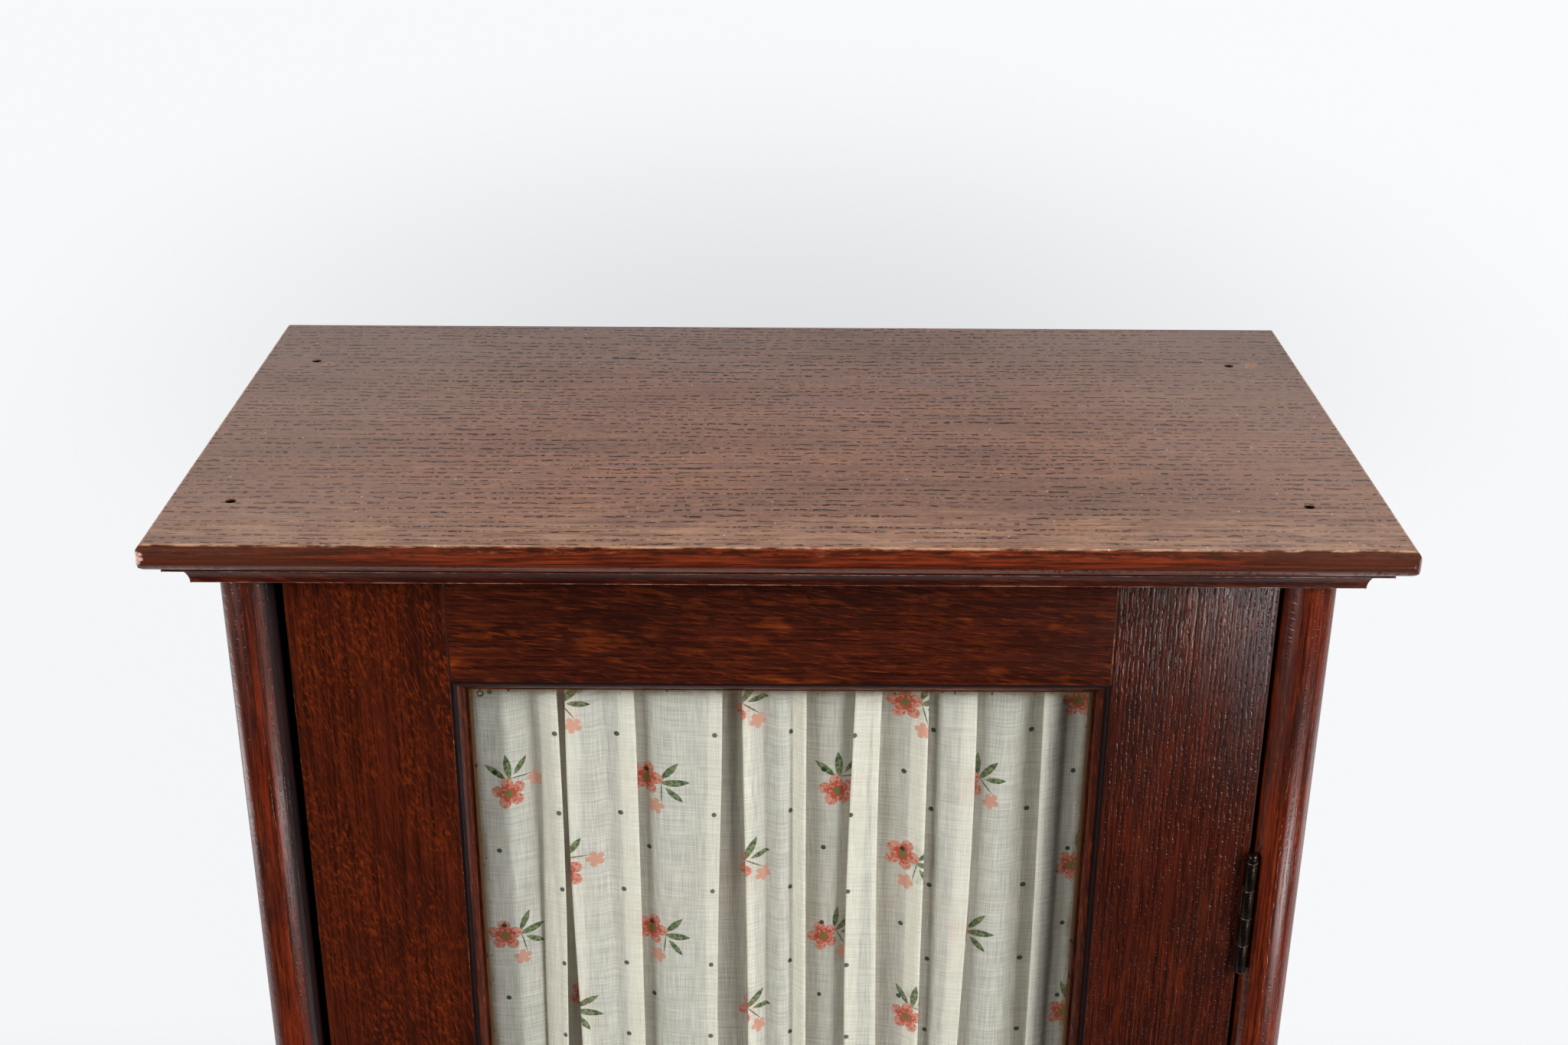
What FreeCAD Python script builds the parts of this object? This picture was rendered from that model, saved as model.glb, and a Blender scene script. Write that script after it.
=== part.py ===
"""Glass-door cabinet of dark-stained oak: a frame-and-panel carcass under an overhanging moulded
top, with one glazed and curtained door hung on the right.

All sizes are in mm. X runs to the right, Y to the back and Z up, so the front faces -Y. The origin
is on the floor under the middle of the top board.
"""
import FreeCAD
import Part
import math
import os

os.makedirs("parts", exist_ok=True)
V = FreeCAD.Vector

# Top board, with a rounded nose on the front and both ends
TOP_WIDTH = 700.0
TOP_DEPTH = 370.0
TOP_THICK = 16.0
TOTAL_HEIGHT = 1080.0
NOSE_TOP_SETBACK = 3.5
NOSE_UNDER_SETBACK = 5.0
NOSE_APEX_DROP = 8.5
TOP_CORNER_RADIUS = 5.0

# Four open screw holes in the top board
HOLE_RADIUS = 3.2
HOLE_DEPTH = 26.0
HOLE_LEFT_SETBACK = 38.5
HOLE_RIGHT_SETBACK = 48.5
HOLE_FRONT_SETBACK = 62.0
HOLE_BACK_SETBACK = 74.0

# Under-moulding: a fillet over a shallow hollow, worked on a mitred frame below the top board
MOULD_SETBACK = 10.8
FILLET_HEIGHT = 4.5
FILLET_STEP = 5.5
HOLLOW_HEIGHT = 12.0
HOLLOW_SETBACK = 6.2
FRAME_WIDTH = 60.0

# Posts: half-round fronts, square backs
SIDE_OVERHANG = 31.5
FRONT_OVERHANG = 34.0
POST_WIDTH = 31.0
POST_DEPTH = 60.0
REAR_POST_DEPTH = 44.0

# Side frames
SIDE_RAIL_THICK = 21.0
SIDE_TOP_RAIL = 70.0
SIDE_BOTTOM_RAIL = 85.0
PANEL_THICK = 8.0
GROOVE_DEPTH = 8.0
PANEL_PLAY = 0.5
CARCASS_TENON = 12.0
TENON_SHOULDER = 12.0
TENON_END_GAP = 0.5

# Front rail, floor and back
LEG_HEIGHT = 65.0
BOTTOM_RAIL = 55.0
FLOOR_THICK = 18.0
BACK_RAIL_THICK = 18.0
BACK_TOP_RAIL = 50.0
BACK_THICK = 12.0
BACK_REBATE = 14.0
BACK_BOARDS = 5
BACK_LAP = 6.0

# Shelves on cleats
SHELF_COUNT = 3
TOP_SPACE = 252.0
SHELF_THICK = 16.0
SHELF_FRONT_SETBACK = 30.0
SHELF_PLAY = 0.5
CLEAT_WIDTH = 12.0
CLEAT_HEIGHT = 20.0

# Door stops
STOP_WIDTH = 12.0
STOP_DEPTH = 10.0
STOP_PLAY = 0.5

# Door frame
DOOR_SETBACK = 8.0
DOOR_THICK = 22.0
GAP_LOCK_SIDE = 5.5
GAP_HINGE_SIDE = 2.5
GAP_ABOVE = 2.0
GAP_BELOW = 2.0
STILE_WIDTH = 91.5
DOOR_TOP_RAIL = 71.0
DOOR_BOTTOM_RAIL = 94.0
DOOR_TENON = 55.0
DOOR_TENON_THICK = 7.5

# Glazing: a moulded bead in front of the pane and a plain one behind it
BEAD_WIDTH = 9.0
BEAD_DEPTH = 10.0
BEAD_DROP = 1.2
BEAD_FLAT = 1.8
BEAD_QUIRK = 1.6
BEAD_LIP = 1.6
GLASS_THICK = 3.0
GLASS_PLAY = 1.0

# Butt hinges
HINGE_LENGTH = 80.0
HINGE_FROM_END = 189.0
HINGE_PROUD = 3.7
KNUCKLE_COUNT = 4
KNUCKLE_RADIUS = 3.5
KNUCKLE_GAP = 0.3
LEAF_THICK = 1.6
LEAF_BACK_MARGIN = 2.0
PIN_RADIUS = 1.7
PIN_CLEARANCE = 0.05
PIN_HEAD_HEIGHT = 6.0
PIN_HEAD_RADIUS = 3.4
PIN_DOME = 2.4

# Curtain on two rods behind the pane
ROD_RADIUS = 3.0
ROD_BEYOND_OPENING = 9.0
ROD_OVERHANG = 6.0
EYE_SETBACK = 13.0
EYE_PLAY = 0.4
EYE_RING_WALL = 2.2
EYE_RING_THICK = 2.4
EYE_BASE_RADIUS = 6.0
EYE_BASE_THICK = 1.5
CURTAIN_THICK = 1.2
CURTAIN_CLEARANCE = 1.2
CURTAIN_SIDE_LAP = 4.0
CURTAIN_HEADING = 12.0
CURTAIN_HEM = 8.0
FOLD_WIDTH = 17.6
FOLD_RHYTHM = (1.0, 1.25, 0.8, 1.1, 0.85)
FOLD_TURN = math.radians(70.0)
CASING_PLAY = 0.4

# Lock, key and strike
LOCK_WIDTH = 46.0
LOCK_HEIGHT = 60.0
LOCK_DEPTH = 13.0
LOCK_WALL = 1.5
KEY_BACKSET = 28.0
BOLT_HEIGHT = 14.0
BOLT_THICK = 6.0
BOLT_THROW = 10.0
BOLT_TAIL = 5.0
BOLT_PLAY = 0.3
TALON_WIDTH = 5.8
TALON_DEPTH = 6.0
BIT_RADIUS = 8.0
BIT_THICK = 2.4
BIT_WIDTH = 5.0
BIT_LEAN = 45.0
BOLT_ABOVE_KEY = 4.2
SHANK_RADIUS = 2.6
SHANK_PLAY = 0.3
KEY_REACH = 34.0
BOW_RADIUS = 11.0
BOW_HOLE_RADIUS = 7.0
BOW_THICK = 3.6
COLLAR_RADIUS = 4.2
COLLAR_LENGTH = 3.0
COLLAR_STANDOFF = 4.0
ESCUTCHEON_WIDTH = 18.0
ESCUTCHEON_HEIGHT = 38.0
ESCUTCHEON_THICK = 1.2
STRIKE_MARGIN = 5.0
STRIKE_THICK = 1.2
STRIKE_PLAY = 0.5

# Places that follow from the sizes
X_END = TOP_WIDTH / 2
Y_FRONT = -TOP_DEPTH / 2
Y_BACK = TOP_DEPTH / 2
Z_BOARD = TOTAL_HEIGHT - TOP_THICK
Z_CARCASS = Z_BOARD - FILLET_HEIGHT - HOLLOW_HEIGHT
X_FRAME_INNER = X_END - MOULD_SETBACK - FRAME_WIDTH
Y_FRAME_INNER = Y_FRONT + MOULD_SETBACK + FRAME_WIDTH

X_POST_OUTER = X_END - SIDE_OVERHANG
X_POST_INNER = X_POST_OUTER - POST_WIDTH
X_POST_MIDDLE = (X_POST_OUTER + X_POST_INNER) / 2
Y_POST_TIP = Y_FRONT + FRONT_OVERHANG
Y_POST_NOSE = Y_POST_TIP + POST_WIDTH / 2
Y_POST_BACK = Y_POST_TIP + POST_DEPTH
Y_REAR_POST = Y_BACK - REAR_POST_DEPTH
Y_BACK_BOARDS = Y_BACK - BACK_THICK
Y_BACK_RAILS = Y_BACK_BOARDS - BACK_RAIL_THICK

Z_RAIL_TOP = LEG_HEIGHT + BOTTOM_RAIL
Z_FLOOR = Z_RAIL_TOP - FLOOR_THICK
SHELF_SPACE = (Z_CARCASS - TOP_SPACE - Z_RAIL_TOP) / SHELF_COUNT - SHELF_THICK

Y_DOOR = Y_POST_TIP + DOOR_SETBACK
Y_DOOR_BACK = Y_DOOR + DOOR_THICK
Y_DOOR_MIDDLE = Y_DOOR + DOOR_THICK / 2
X_DOOR_LEFT = -X_POST_INNER + GAP_LOCK_SIDE
X_DOOR_RIGHT = X_POST_INNER - GAP_HINGE_SIDE
Z_DOOR_BOTTOM = Z_RAIL_TOP + GAP_BELOW
Z_DOOR_TOP = Z_CARCASS - GAP_ABOVE
OPENING_X = (X_DOOR_LEFT + STILE_WIDTH, X_DOOR_RIGHT - STILE_WIDTH)
OPENING_Z = (Z_DOOR_BOTTOM + DOOR_BOTTOM_RAIL, Z_DOOR_TOP - DOOR_TOP_RAIL)
Y_GLASS = Y_DOOR + BEAD_DEPTH
Y_INNER_BEAD = Y_GLASS + GLASS_THICK

X_HINGE = (X_DOOR_RIGHT + X_POST_INNER) / 2
Y_HINGE = Y_DOOR - HINGE_PROUD
HINGE_BOTTOMS = {
    "upper": Z_DOOR_TOP - HINGE_FROM_END - HINGE_LENGTH,
    "lower": Z_DOOR_BOTTOM + HINGE_FROM_END,
}

CURTAIN_X = (OPENING_X[0] - CURTAIN_SIDE_LAP, OPENING_X[1] + CURTAIN_SIDE_LAP)
HALF_FOLDS = 2 * round((CURTAIN_X[1] - CURTAIN_X[0]) / (2 * FOLD_WIDTH))
FOLD_SHARES = [FOLD_RHYTHM[i % len(FOLD_RHYTHM)] for i in range(HALF_FOLDS)]
FOLD_UNIT = (CURTAIN_X[1] - CURTAIN_X[0]) / sum(FOLD_SHARES)
FOLD_DEPTH = FOLD_UNIT * max(FOLD_RHYTHM) * math.tan(FOLD_TURN / 2) / 2
Y_ROD = Y_DOOR_BACK + CURTAIN_CLEARANCE + CURTAIN_THICK / 2 + FOLD_DEPTH
ROD_HEIGHTS = {
    "top": OPENING_Z[1] + ROD_BEYOND_OPENING,
    "bottom": OPENING_Z[0] - ROD_BEYOND_OPENING,
}
X_EYES = (OPENING_X[0] - EYE_SETBACK, OPENING_X[1] + EYE_SETBACK)

X_KEY = X_DOOR_LEFT + KEY_BACKSET
Z_KEY = (Z_DOOR_BOTTOM + Z_DOOR_TOP) / 2
Y_LOCK = Y_DOOR_BACK - LOCK_DEPTH
Y_BOLT = Y_LOCK + LOCK_DEPTH / 2
BOLT_Y = (Y_BOLT - BOLT_THICK / 2, Y_BOLT + BOLT_THICK / 2)
BOLT_Z = (Z_KEY + BOLT_ABOVE_KEY, Z_KEY + BOLT_ABOVE_KEY + BOLT_HEIGHT)


def save(node, shape):
    """Write one named piece."""
    shape.exportStep(f"parts/{node}.step")


def box(x, y, z):
    """Box between the low and high value of each pair."""
    return Part.makeBox(x[1] - x[0], y[1] - y[0], z[1] - z[0], V(x[0], y[0], z[0]))


def wider(span, by):
    """Span with both ends moved outwards."""
    return (span[0] - by, span[1] + by)


def rod(start, along, radius):
    """Round bar from a point along a vector."""
    return Part.makeCylinder(radius, along.Length, start, along)


def mirrored(shape):
    """The same piece for the other side of the cabinet."""
    return shape.mirror(V(0, 0, 0), V(1, 0, 0))


def face(place, start, *steps):
    """Flat face with straight steps (a, b) and arc steps (point on the way, end point).

    place turns each (a, b) into a point in space.
    """
    edges = []
    here = start
    for step in steps + (start,):
        if isinstance(step[0], tuple):
            middle, end = step
            edges.append(Part.Arc(place(*here), place(*middle), place(*end)).toShape())
        else:
            end = step
            edges.append(Part.makeLine(place(*here), place(*end)))
        here = end
    return Part.Face(Part.Wire(edges))


def in_plan(z):
    """Placing function for (x, y) at one height."""
    return lambda x, y: V(x, y, z)


def in_front_view(y):
    """Placing function for (x, z) at one depth."""
    return lambda x, z: V(x, y, z)


def in_side_view(x):
    """Placing function for (y, z) at one width."""
    return lambda y, z: V(x, y, z)


def halfway(upright, setback, rise):
    """Middle of an arc that leaves the point upright vertically and reaches (setback, rise) from it."""
    radius = (setback**2 + rise**2) / (2 * abs(setback))
    half_turn = math.asin(abs(rise) / radius) / 2
    inward = math.copysign(radius * (1 - math.cos(half_turn)), setback)
    return (upright[0] + inward, upright[1] + math.copysign(radius * math.sin(half_turn), rise))


def nose(edge, inward):
    """Arc steps down a rounded board edge: from the top arris to the apex, then to the under arris."""
    apex = (edge, TOTAL_HEIGHT - NOSE_APEX_DROP)
    upper = halfway(apex, inward * NOSE_TOP_SETBACK, NOSE_APEX_DROP)
    under = halfway(apex, inward * NOSE_UNDER_SETBACK, NOSE_APEX_DROP - TOP_THICK)
    under_arris = (edge + inward * NOSE_UNDER_SETBACK, Z_BOARD)
    return (upper, apex), (under, under_arris)


def drill_top_holes(shape):
    """The four screw holes, cut from whatever lies below them."""
    for x in (-X_END + HOLE_LEFT_SETBACK, X_END - HOLE_RIGHT_SETBACK):
        for y in (Y_FRONT + HOLE_FRONT_SETBACK, Y_BACK - HOLE_BACK_SETBACK):
            foot = V(x, y, TOTAL_HEIGHT - HOLE_DEPTH)
            shape = shape.cut(rod(foot, V(0, 0, HOLE_DEPTH), HOLE_RADIUS))
    return shape


def top_board():
    """Board whose front and ends are rounded, with the front corners eased in plan."""
    along = face(
        in_side_view(-X_END),
        (Y_FRONT + NOSE_TOP_SETBACK, TOTAL_HEIGHT),
        *nose(Y_FRONT, 1),
        (Y_BACK, Z_BOARD),
        (Y_BACK, TOTAL_HEIGHT),
    ).extrude(V(TOP_WIDTH, 0, 0))
    left_upper, left_under = nose(-X_END, 1)
    right_upper, right_under = nose(X_END, -1)
    up_right = (right_upper[0], (X_END - NOSE_TOP_SETBACK, TOTAL_HEIGHT))
    across = face(
        in_front_view(Y_FRONT),
        (-X_END + NOSE_TOP_SETBACK, TOTAL_HEIGHT),
        left_upper,
        left_under,
        right_under[1],
        (right_under[0], right_upper[1]),
        up_right,
    ).extrude(V(0, TOP_DEPTH, 0))
    ease = TOP_CORNER_RADIUS * (1 - math.sqrt(0.5))
    plan = face(
        in_plan(Z_BOARD),
        (-X_END, Y_BACK),
        (-X_END, Y_FRONT + TOP_CORNER_RADIUS),
        ((-X_END + ease, Y_FRONT + ease), (-X_END + TOP_CORNER_RADIUS, Y_FRONT)),
        (X_END - TOP_CORNER_RADIUS, Y_FRONT),
        ((X_END - ease, Y_FRONT + ease), (X_END, Y_FRONT + TOP_CORNER_RADIUS)),
        (X_END, Y_BACK),
    ).extrude(V(0, 0, TOP_THICK))
    return drill_top_holes(along.common(across).common(plan))


def mould_steps(edge, inward, inner):
    """Section of one moulded frame member, from its inner top round the inside to the outer top."""
    fillet = edge + inward * MOULD_SETBACK
    hollow_top = (fillet + inward * FILLET_STEP, Z_BOARD - FILLET_HEIGHT)
    hollow_end = (hollow_top[0] + inward * HOLLOW_SETBACK, Z_CARCASS)
    return (
        (inner, Z_BOARD),
        (inner, Z_CARCASS),
        hollow_end,
        (halfway(hollow_end, -inward * HOLLOW_SETBACK, HOLLOW_HEIGHT), hollow_top),
        (fillet, Z_BOARD - FILLET_HEIGHT),
        (fillet, Z_BOARD),
    )


def under_moulding_front():
    """Front member, mitred at both ends."""
    section = face(in_side_view(-X_END), *mould_steps(Y_FRONT, 1, Y_FRAME_INNER))
    mitre = face(
        in_plan(Z_CARCASS),
        (-X_END, Y_FRONT),
        (X_END, Y_FRONT),
        (X_FRAME_INNER, Y_FRAME_INNER),
        (-X_FRAME_INNER, Y_FRAME_INNER),
    )
    bar = section.extrude(V(TOP_WIDTH, 0, 0))
    return drill_top_holes(bar.common(mitre.extrude(V(0, 0, Z_BOARD - Z_CARCASS))))


def under_moulding_right():
    """Right member, mitred at the front and square at the back, before drilling."""
    section = face(in_front_view(Y_FRONT), *mould_steps(X_END, -1, X_FRAME_INNER))
    mitre = face(
        in_plan(Z_CARCASS),
        (X_END, Y_FRONT),
        (X_END, Y_BACK),
        (X_FRAME_INNER, Y_BACK),
        (X_FRAME_INNER, Y_FRAME_INNER),
    )
    bar = section.extrude(V(0, TOP_DEPTH, 0))
    return bar.common(mitre.extrude(V(0, 0, Z_BOARD - Z_CARCASS)))


def under_frame_back():
    """Plain back member between the two side members."""
    return box((-X_FRAME_INNER, X_FRAME_INNER), (Y_BACK - FRAME_WIDTH, Y_BACK), (Z_CARCASS, Z_BOARD))


PANEL_X = (X_POST_MIDDLE - PANEL_THICK / 2, X_POST_MIDDLE + PANEL_THICK / 2)
PANEL_SLOT_Y = (Y_POST_BACK - GROOVE_DEPTH, Y_REAR_POST + GROOVE_DEPTH)
SIDE_RAILS = {
    "top": (Z_CARCASS - SIDE_TOP_RAIL, Z_CARCASS),
    "bottom": (LEG_HEIGHT, LEG_HEIGHT + SIDE_BOTTOM_RAIL),
}
SIDE_TENONS = {
    "top": (SIDE_RAILS["top"][0] + GROOVE_DEPTH, SIDE_RAILS["top"][1] - TENON_SHOULDER),
    "bottom": (SIDE_RAILS["bottom"][0] + TENON_SHOULDER, SIDE_RAILS["bottom"][1] - GROOVE_DEPTH),
}
PANEL_SLOT_Z = (SIDE_RAILS["bottom"][1] - GROOVE_DEPTH, SIDE_RAILS["top"][0] + GROOVE_DEPTH)
FRONT_TENON_Y = (Y_DOOR_MIDDLE - PANEL_THICK / 2, Y_DOOR_MIDDLE + PANEL_THICK / 2)
FRONT_TENON_Z = (LEG_HEIGHT + TENON_SHOULDER, Z_RAIL_TOP - TENON_SHOULDER)
BACK_RAILS = {
    "top": (Z_CARCASS - BACK_TOP_RAIL, Z_CARCASS),
    "bottom": (LEG_HEIGHT, Z_RAIL_TOP),
}
BACK_TENON_Y = (Y_BACK_BOARDS - PANEL_THICK, Y_BACK_BOARDS)


def panel_slot():
    """Room for the right side panel, as cut into its posts and rails."""
    return box(PANEL_X, PANEL_SLOT_Y, PANEL_SLOT_Z)


def side_tenons(level, end_gap):
    """Bar through a right side rail that gives both of its tenons, or with an end gap their mortises."""
    reach = CARCASS_TENON + end_gap
    return box(PANEL_X, (Y_POST_BACK - reach, Y_REAR_POST + reach), SIDE_TENONS[level])


def side_rail(level):
    """Right side rail with its tenons and the groove for the panel."""
    x = (X_POST_MIDDLE - SIDE_RAIL_THICK / 2, X_POST_MIDDLE + SIDE_RAIL_THICK / 2)
    bar = box(x, (Y_POST_BACK, Y_REAR_POST), SIDE_RAILS[level])
    return bar.fuse(side_tenons(level, 0)).cut(panel_slot()).removeSplitter()


def side_panel():
    """Flat right side panel, free to move in its grooves."""
    return box(PANEL_X, wider(PANEL_SLOT_Y, -PANEL_PLAY), wider(PANEL_SLOT_Z, -PANEL_PLAY))


def front_tenons(end_gap):
    """Tenons at both ends of the front rail, as one bar."""
    reach = X_POST_INNER + CARCASS_TENON + end_gap
    return box((-reach, reach), FRONT_TENON_Y, FRONT_TENON_Z)


def front_rail():
    """Rail below the door, level with the door's face."""
    bar = box((-X_POST_INNER, X_POST_INNER), (Y_DOOR, Y_DOOR_BACK), (LEG_HEIGHT, Z_RAIL_TOP))
    return bar.fuse(front_tenons(0)).removeSplitter()


def back_tenons(level, end_gap):
    """Tenons at both ends of a back rail, as one bar."""
    reach = X_POST_INNER + CARCASS_TENON + end_gap
    return box((-reach, reach), BACK_TENON_Y, wider(BACK_RAILS[level], -TENON_SHOULDER))


def back_rail(level):
    """Rail that the back boards are nailed to."""
    bar = box((-X_POST_INNER, X_POST_INNER), (Y_BACK_RAILS, Y_BACK_BOARDS), BACK_RAILS[level])
    return bar.fuse(back_tenons(level, 0)).removeSplitter()


def front_post():
    """Right front post, before its hinges are let in."""
    plan = face(
        in_plan(0),
        (X_POST_INNER, Y_POST_BACK),
        (X_POST_INNER, Y_POST_NOSE),
        ((X_POST_MIDDLE, Y_POST_TIP), (X_POST_OUTER, Y_POST_NOSE)),
        (X_POST_OUTER, Y_POST_BACK),
    )
    post = plan.extrude(V(0, 0, Z_CARCASS)).cut(panel_slot())
    for level in SIDE_RAILS:
        post = post.cut(side_tenons(level, TENON_END_GAP))
    return post.cut(front_tenons(TENON_END_GAP))


def rear_post():
    """Right rear post, rebated for the back boards."""
    post = box((X_POST_INNER, X_POST_OUTER), (Y_REAR_POST, Y_BACK), (0, Z_CARCASS))
    rebate_x = (X_POST_INNER, X_POST_INNER + BACK_REBATE)
    post = post.cut(box(rebate_x, (Y_BACK_BOARDS, Y_BACK), (LEG_HEIGHT, Z_CARCASS)))
    post = post.cut(panel_slot())
    for level in SIDE_RAILS:
        post = post.cut(side_tenons(level, TENON_END_GAP))
    for level in BACK_RAILS:
        post = post.cut(back_tenons(level, TENON_END_GAP))
    return post


def back_board(index):
    """One upright back board, half-lapped over its neighbours."""
    reach = X_POST_INNER + BACK_REBATE
    width = 2 * reach / BACK_BOARDS
    left = -reach + index * width
    y_half = (Y_BACK_BOARDS + Y_BACK) / 2
    z = (LEG_HEIGHT, Z_CARCASS)
    board = box((left, left + width), (Y_BACK_BOARDS, Y_BACK), z)
    if index > 0:
        board = board.fuse(box((left - BACK_LAP, left), (y_half, Y_BACK), z))
    if index < BACK_BOARDS - 1:
        board = board.cut(box((left + width - BACK_LAP, left + width), (y_half, Y_BACK), z))
    return board.removeSplitter()


def floor_board():
    """Cabinet floor, level with the top of the front rail."""
    x = wider((-X_POST_INNER, X_POST_INNER), -SHELF_PLAY)
    return box(x, (Y_DOOR_BACK, Y_BACK_RAILS), (Z_FLOOR, Z_RAIL_TOP))


def shelf_bottom(index):
    """Height of a shelf's underside, counted from the lowest."""
    return Z_RAIL_TOP + SHELF_SPACE + index * (SHELF_SPACE + SHELF_THICK)


def shelf(index):
    """Loose shelf lying on its two cleats."""
    x = wider((-X_POST_INNER, X_POST_INNER), -SHELF_PLAY)
    z = shelf_bottom(index)
    return box(x, (Y_DOOR_BACK + SHELF_FRONT_SETBACK, Y_BACK_BOARDS), (z, z + SHELF_THICK))


def shelf_cleats():
    """Pairs of cleats fixed to the posts, one pair under the floor and one under each shelf."""
    y = (Y_DOOR_BACK + STOP_PLAY + STOP_DEPTH, Y_BACK_RAILS)
    x = (X_POST_INNER - CLEAT_WIDTH, X_POST_INNER)
    cleats = []
    for top in [Z_FLOOR] + [shelf_bottom(i) for i in range(SHELF_COUNT)]:
        cleat = box(x, y, (top - CLEAT_HEIGHT, top))
        cleats += [cleat, mirrored(cleat)]
    return Part.makeCompound(cleats)


STOP_Y = (Y_DOOR_BACK + STOP_PLAY, Y_DOOR_BACK + STOP_PLAY + STOP_DEPTH)


def door_stop_top():
    """Strip behind the door's top edge."""
    return box((-X_POST_INNER, X_POST_INNER), STOP_Y, (Z_CARCASS - STOP_WIDTH, Z_CARCASS))


def door_stop_left():
    """Strip on the left post behind the door's closing edge."""
    x = (-X_POST_INNER, -X_POST_INNER + STOP_WIDTH)
    return box(x, STOP_Y, (Z_RAIL_TOP, Z_CARCASS - STOP_WIDTH))


DOOR_RAILS = {
    "top": (OPENING_Z[1], Z_DOOR_TOP),
    "bottom": (Z_DOOR_BOTTOM, OPENING_Z[0]),
}
DOOR_TENON_Z = {
    "top": (OPENING_Z[1], Z_DOOR_TOP - TENON_SHOULDER),
    "bottom": (Z_DOOR_BOTTOM + TENON_SHOULDER, OPENING_Z[0]),
}


def door_tenons(level, end_gap):
    """Tenons at both ends of a door rail, as one bar."""
    y = (Y_DOOR_MIDDLE - DOOR_TENON_THICK / 2, Y_DOOR_MIDDLE + DOOR_TENON_THICK / 2)
    return box(wider(OPENING_X, DOOR_TENON + end_gap), y, DOOR_TENON_Z[level])


def door_rail(level):
    """Door rail with its tenons."""
    bar = box(OPENING_X, (Y_DOOR, Y_DOOR_BACK), DOOR_RAILS[level])
    return bar.fuse(door_tenons(level, 0)).removeSplitter()


def door_stile(x):
    """Door stile with its mortises, before hinges or lock are let in."""
    stile = box(x, (Y_DOOR, Y_DOOR_BACK), (Z_DOOR_BOTTOM, Z_DOOR_TOP))
    for level in DOOR_RAILS:
        stile = stile.cut(door_tenons(level, TENON_END_GAP))
    return stile


def bead_profile(edge, inward):
    """Front bead's section as (across, depth): a flat, a sunk quirk, an ovolo and a lip at the glass."""
    flat = edge + inward * BEAD_FLAT
    lip = edge + inward * (BEAD_WIDTH - BEAD_LIP)
    top = Y_DOOR + BEAD_DROP
    shoulder = (flat, top + BEAD_QUIRK)
    foot = (lip, Y_GLASS - BEAD_LIP)
    bulge = math.sqrt(0.5)
    on_way = (
        shoulder[0] + bulge * (foot[0] - shoulder[0]),
        foot[1] - bulge * (foot[1] - shoulder[1]),
    )
    sight = edge + inward * BEAD_WIDTH
    return (
        (edge, Y_GLASS),
        (edge, top),
        (flat, top),
        shoulder,
        (on_way, foot),
        (sight, foot[1]),
        (sight, Y_GLASS),
    )


def plain_profile(edge, inward):
    """Inner bead's section as (across, depth), a plain square strip."""
    sight = edge + inward * BEAD_WIDTH
    return ((edge, Y_DOOR_BACK), (edge, Y_INNER_BEAD), (sight, Y_INNER_BEAD), (sight, Y_DOOR_BACK))


def mitred_bead(side, profile):
    """Bead along one side of the door's opening, with its ends mitred."""
    x0, x1 = OPENING_X
    z0, z1 = OPENING_Z
    outer = {"left": x0, "right": x1, "bottom": z0, "top": z1}[side]
    inward = 1 if side in ("left", "bottom") else -1
    section = profile(outer, inward)
    if side in ("left", "right"):
        bar = face(lambda across, depth: V(across, depth, z0), *section).extrude(V(0, 0, z1 - z0))
        sight = outer + inward * BEAD_WIDTH
        mitre = ((outer, z0), (sight, z0 + BEAD_WIDTH), (sight, z1 - BEAD_WIDTH), (outer, z1))
    else:
        bar = face(lambda across, depth: V(x0, depth, across), *section).extrude(V(x1 - x0, 0, 0))
        sight = outer + inward * BEAD_WIDTH
        mitre = ((x0, outer), (x0 + BEAD_WIDTH, sight), (x1 - BEAD_WIDTH, sight), (x1, outer))
    return bar.common(face(in_front_view(Y_DOOR), *mitre).extrude(V(0, DOOR_THICK, 0)))


def glass_pane():
    """Pane held between the front and inner beads."""
    return box(wider(OPENING_X, -GLASS_PLAY), (Y_GLASS, Y_INNER_BEAD), wider(OPENING_Z, -GLASS_PLAY))


KNUCKLE_LENGTH = HINGE_LENGTH / KNUCKLE_COUNT
LEAF_FRONT = Y_HINGE + KNUCKLE_RADIUS + KNUCKLE_GAP
LEAF_BACK = Y_DOOR_BACK - LEAF_BACK_MARGIN
DOOR_LEAF_X = (X_DOOR_RIGHT - LEAF_THICK, X_DOOR_RIGHT)
POST_LEAF_X = (X_POST_INNER, X_POST_INNER + LEAF_THICK)


def hinge_leaf(x, z0, first):
    """Leaf let in at x, with every second knuckle from the one numbered first."""
    leaf = box(x, (LEAF_FRONT, LEAF_BACK), (z0, z0 + HINGE_LENGTH))
    for index in range(first, KNUCKLE_COUNT, 2):
        bottom = z0 + index * KNUCKLE_LENGTH
        z = (bottom + KNUCKLE_GAP / 2, bottom + KNUCKLE_LENGTH - KNUCKLE_GAP / 2)
        barrel = rod(V(X_HINGE, Y_HINGE, z[0]), V(0, 0, z[1] - z[0]), KNUCKLE_RADIUS)
        leaf = leaf.fuse(barrel).fuse(box(x, (Y_HINGE, LEAF_FRONT), z))
    bore = rod(V(X_HINGE, Y_HINGE, z0), V(0, 0, HINGE_LENGTH), PIN_RADIUS + PIN_CLEARANCE)
    return leaf.cut(bore).removeSplitter()


def let_in_hinges(wood, x):
    """Cut the leaf recesses of both hinges from a stile or post."""
    for z0 in HINGE_BOTTOMS.values():
        wood = wood.cut(box(x, (Y_HINGE, LEAF_BACK), (z0, z0 + HINGE_LENGTH)))
    return wood


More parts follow.
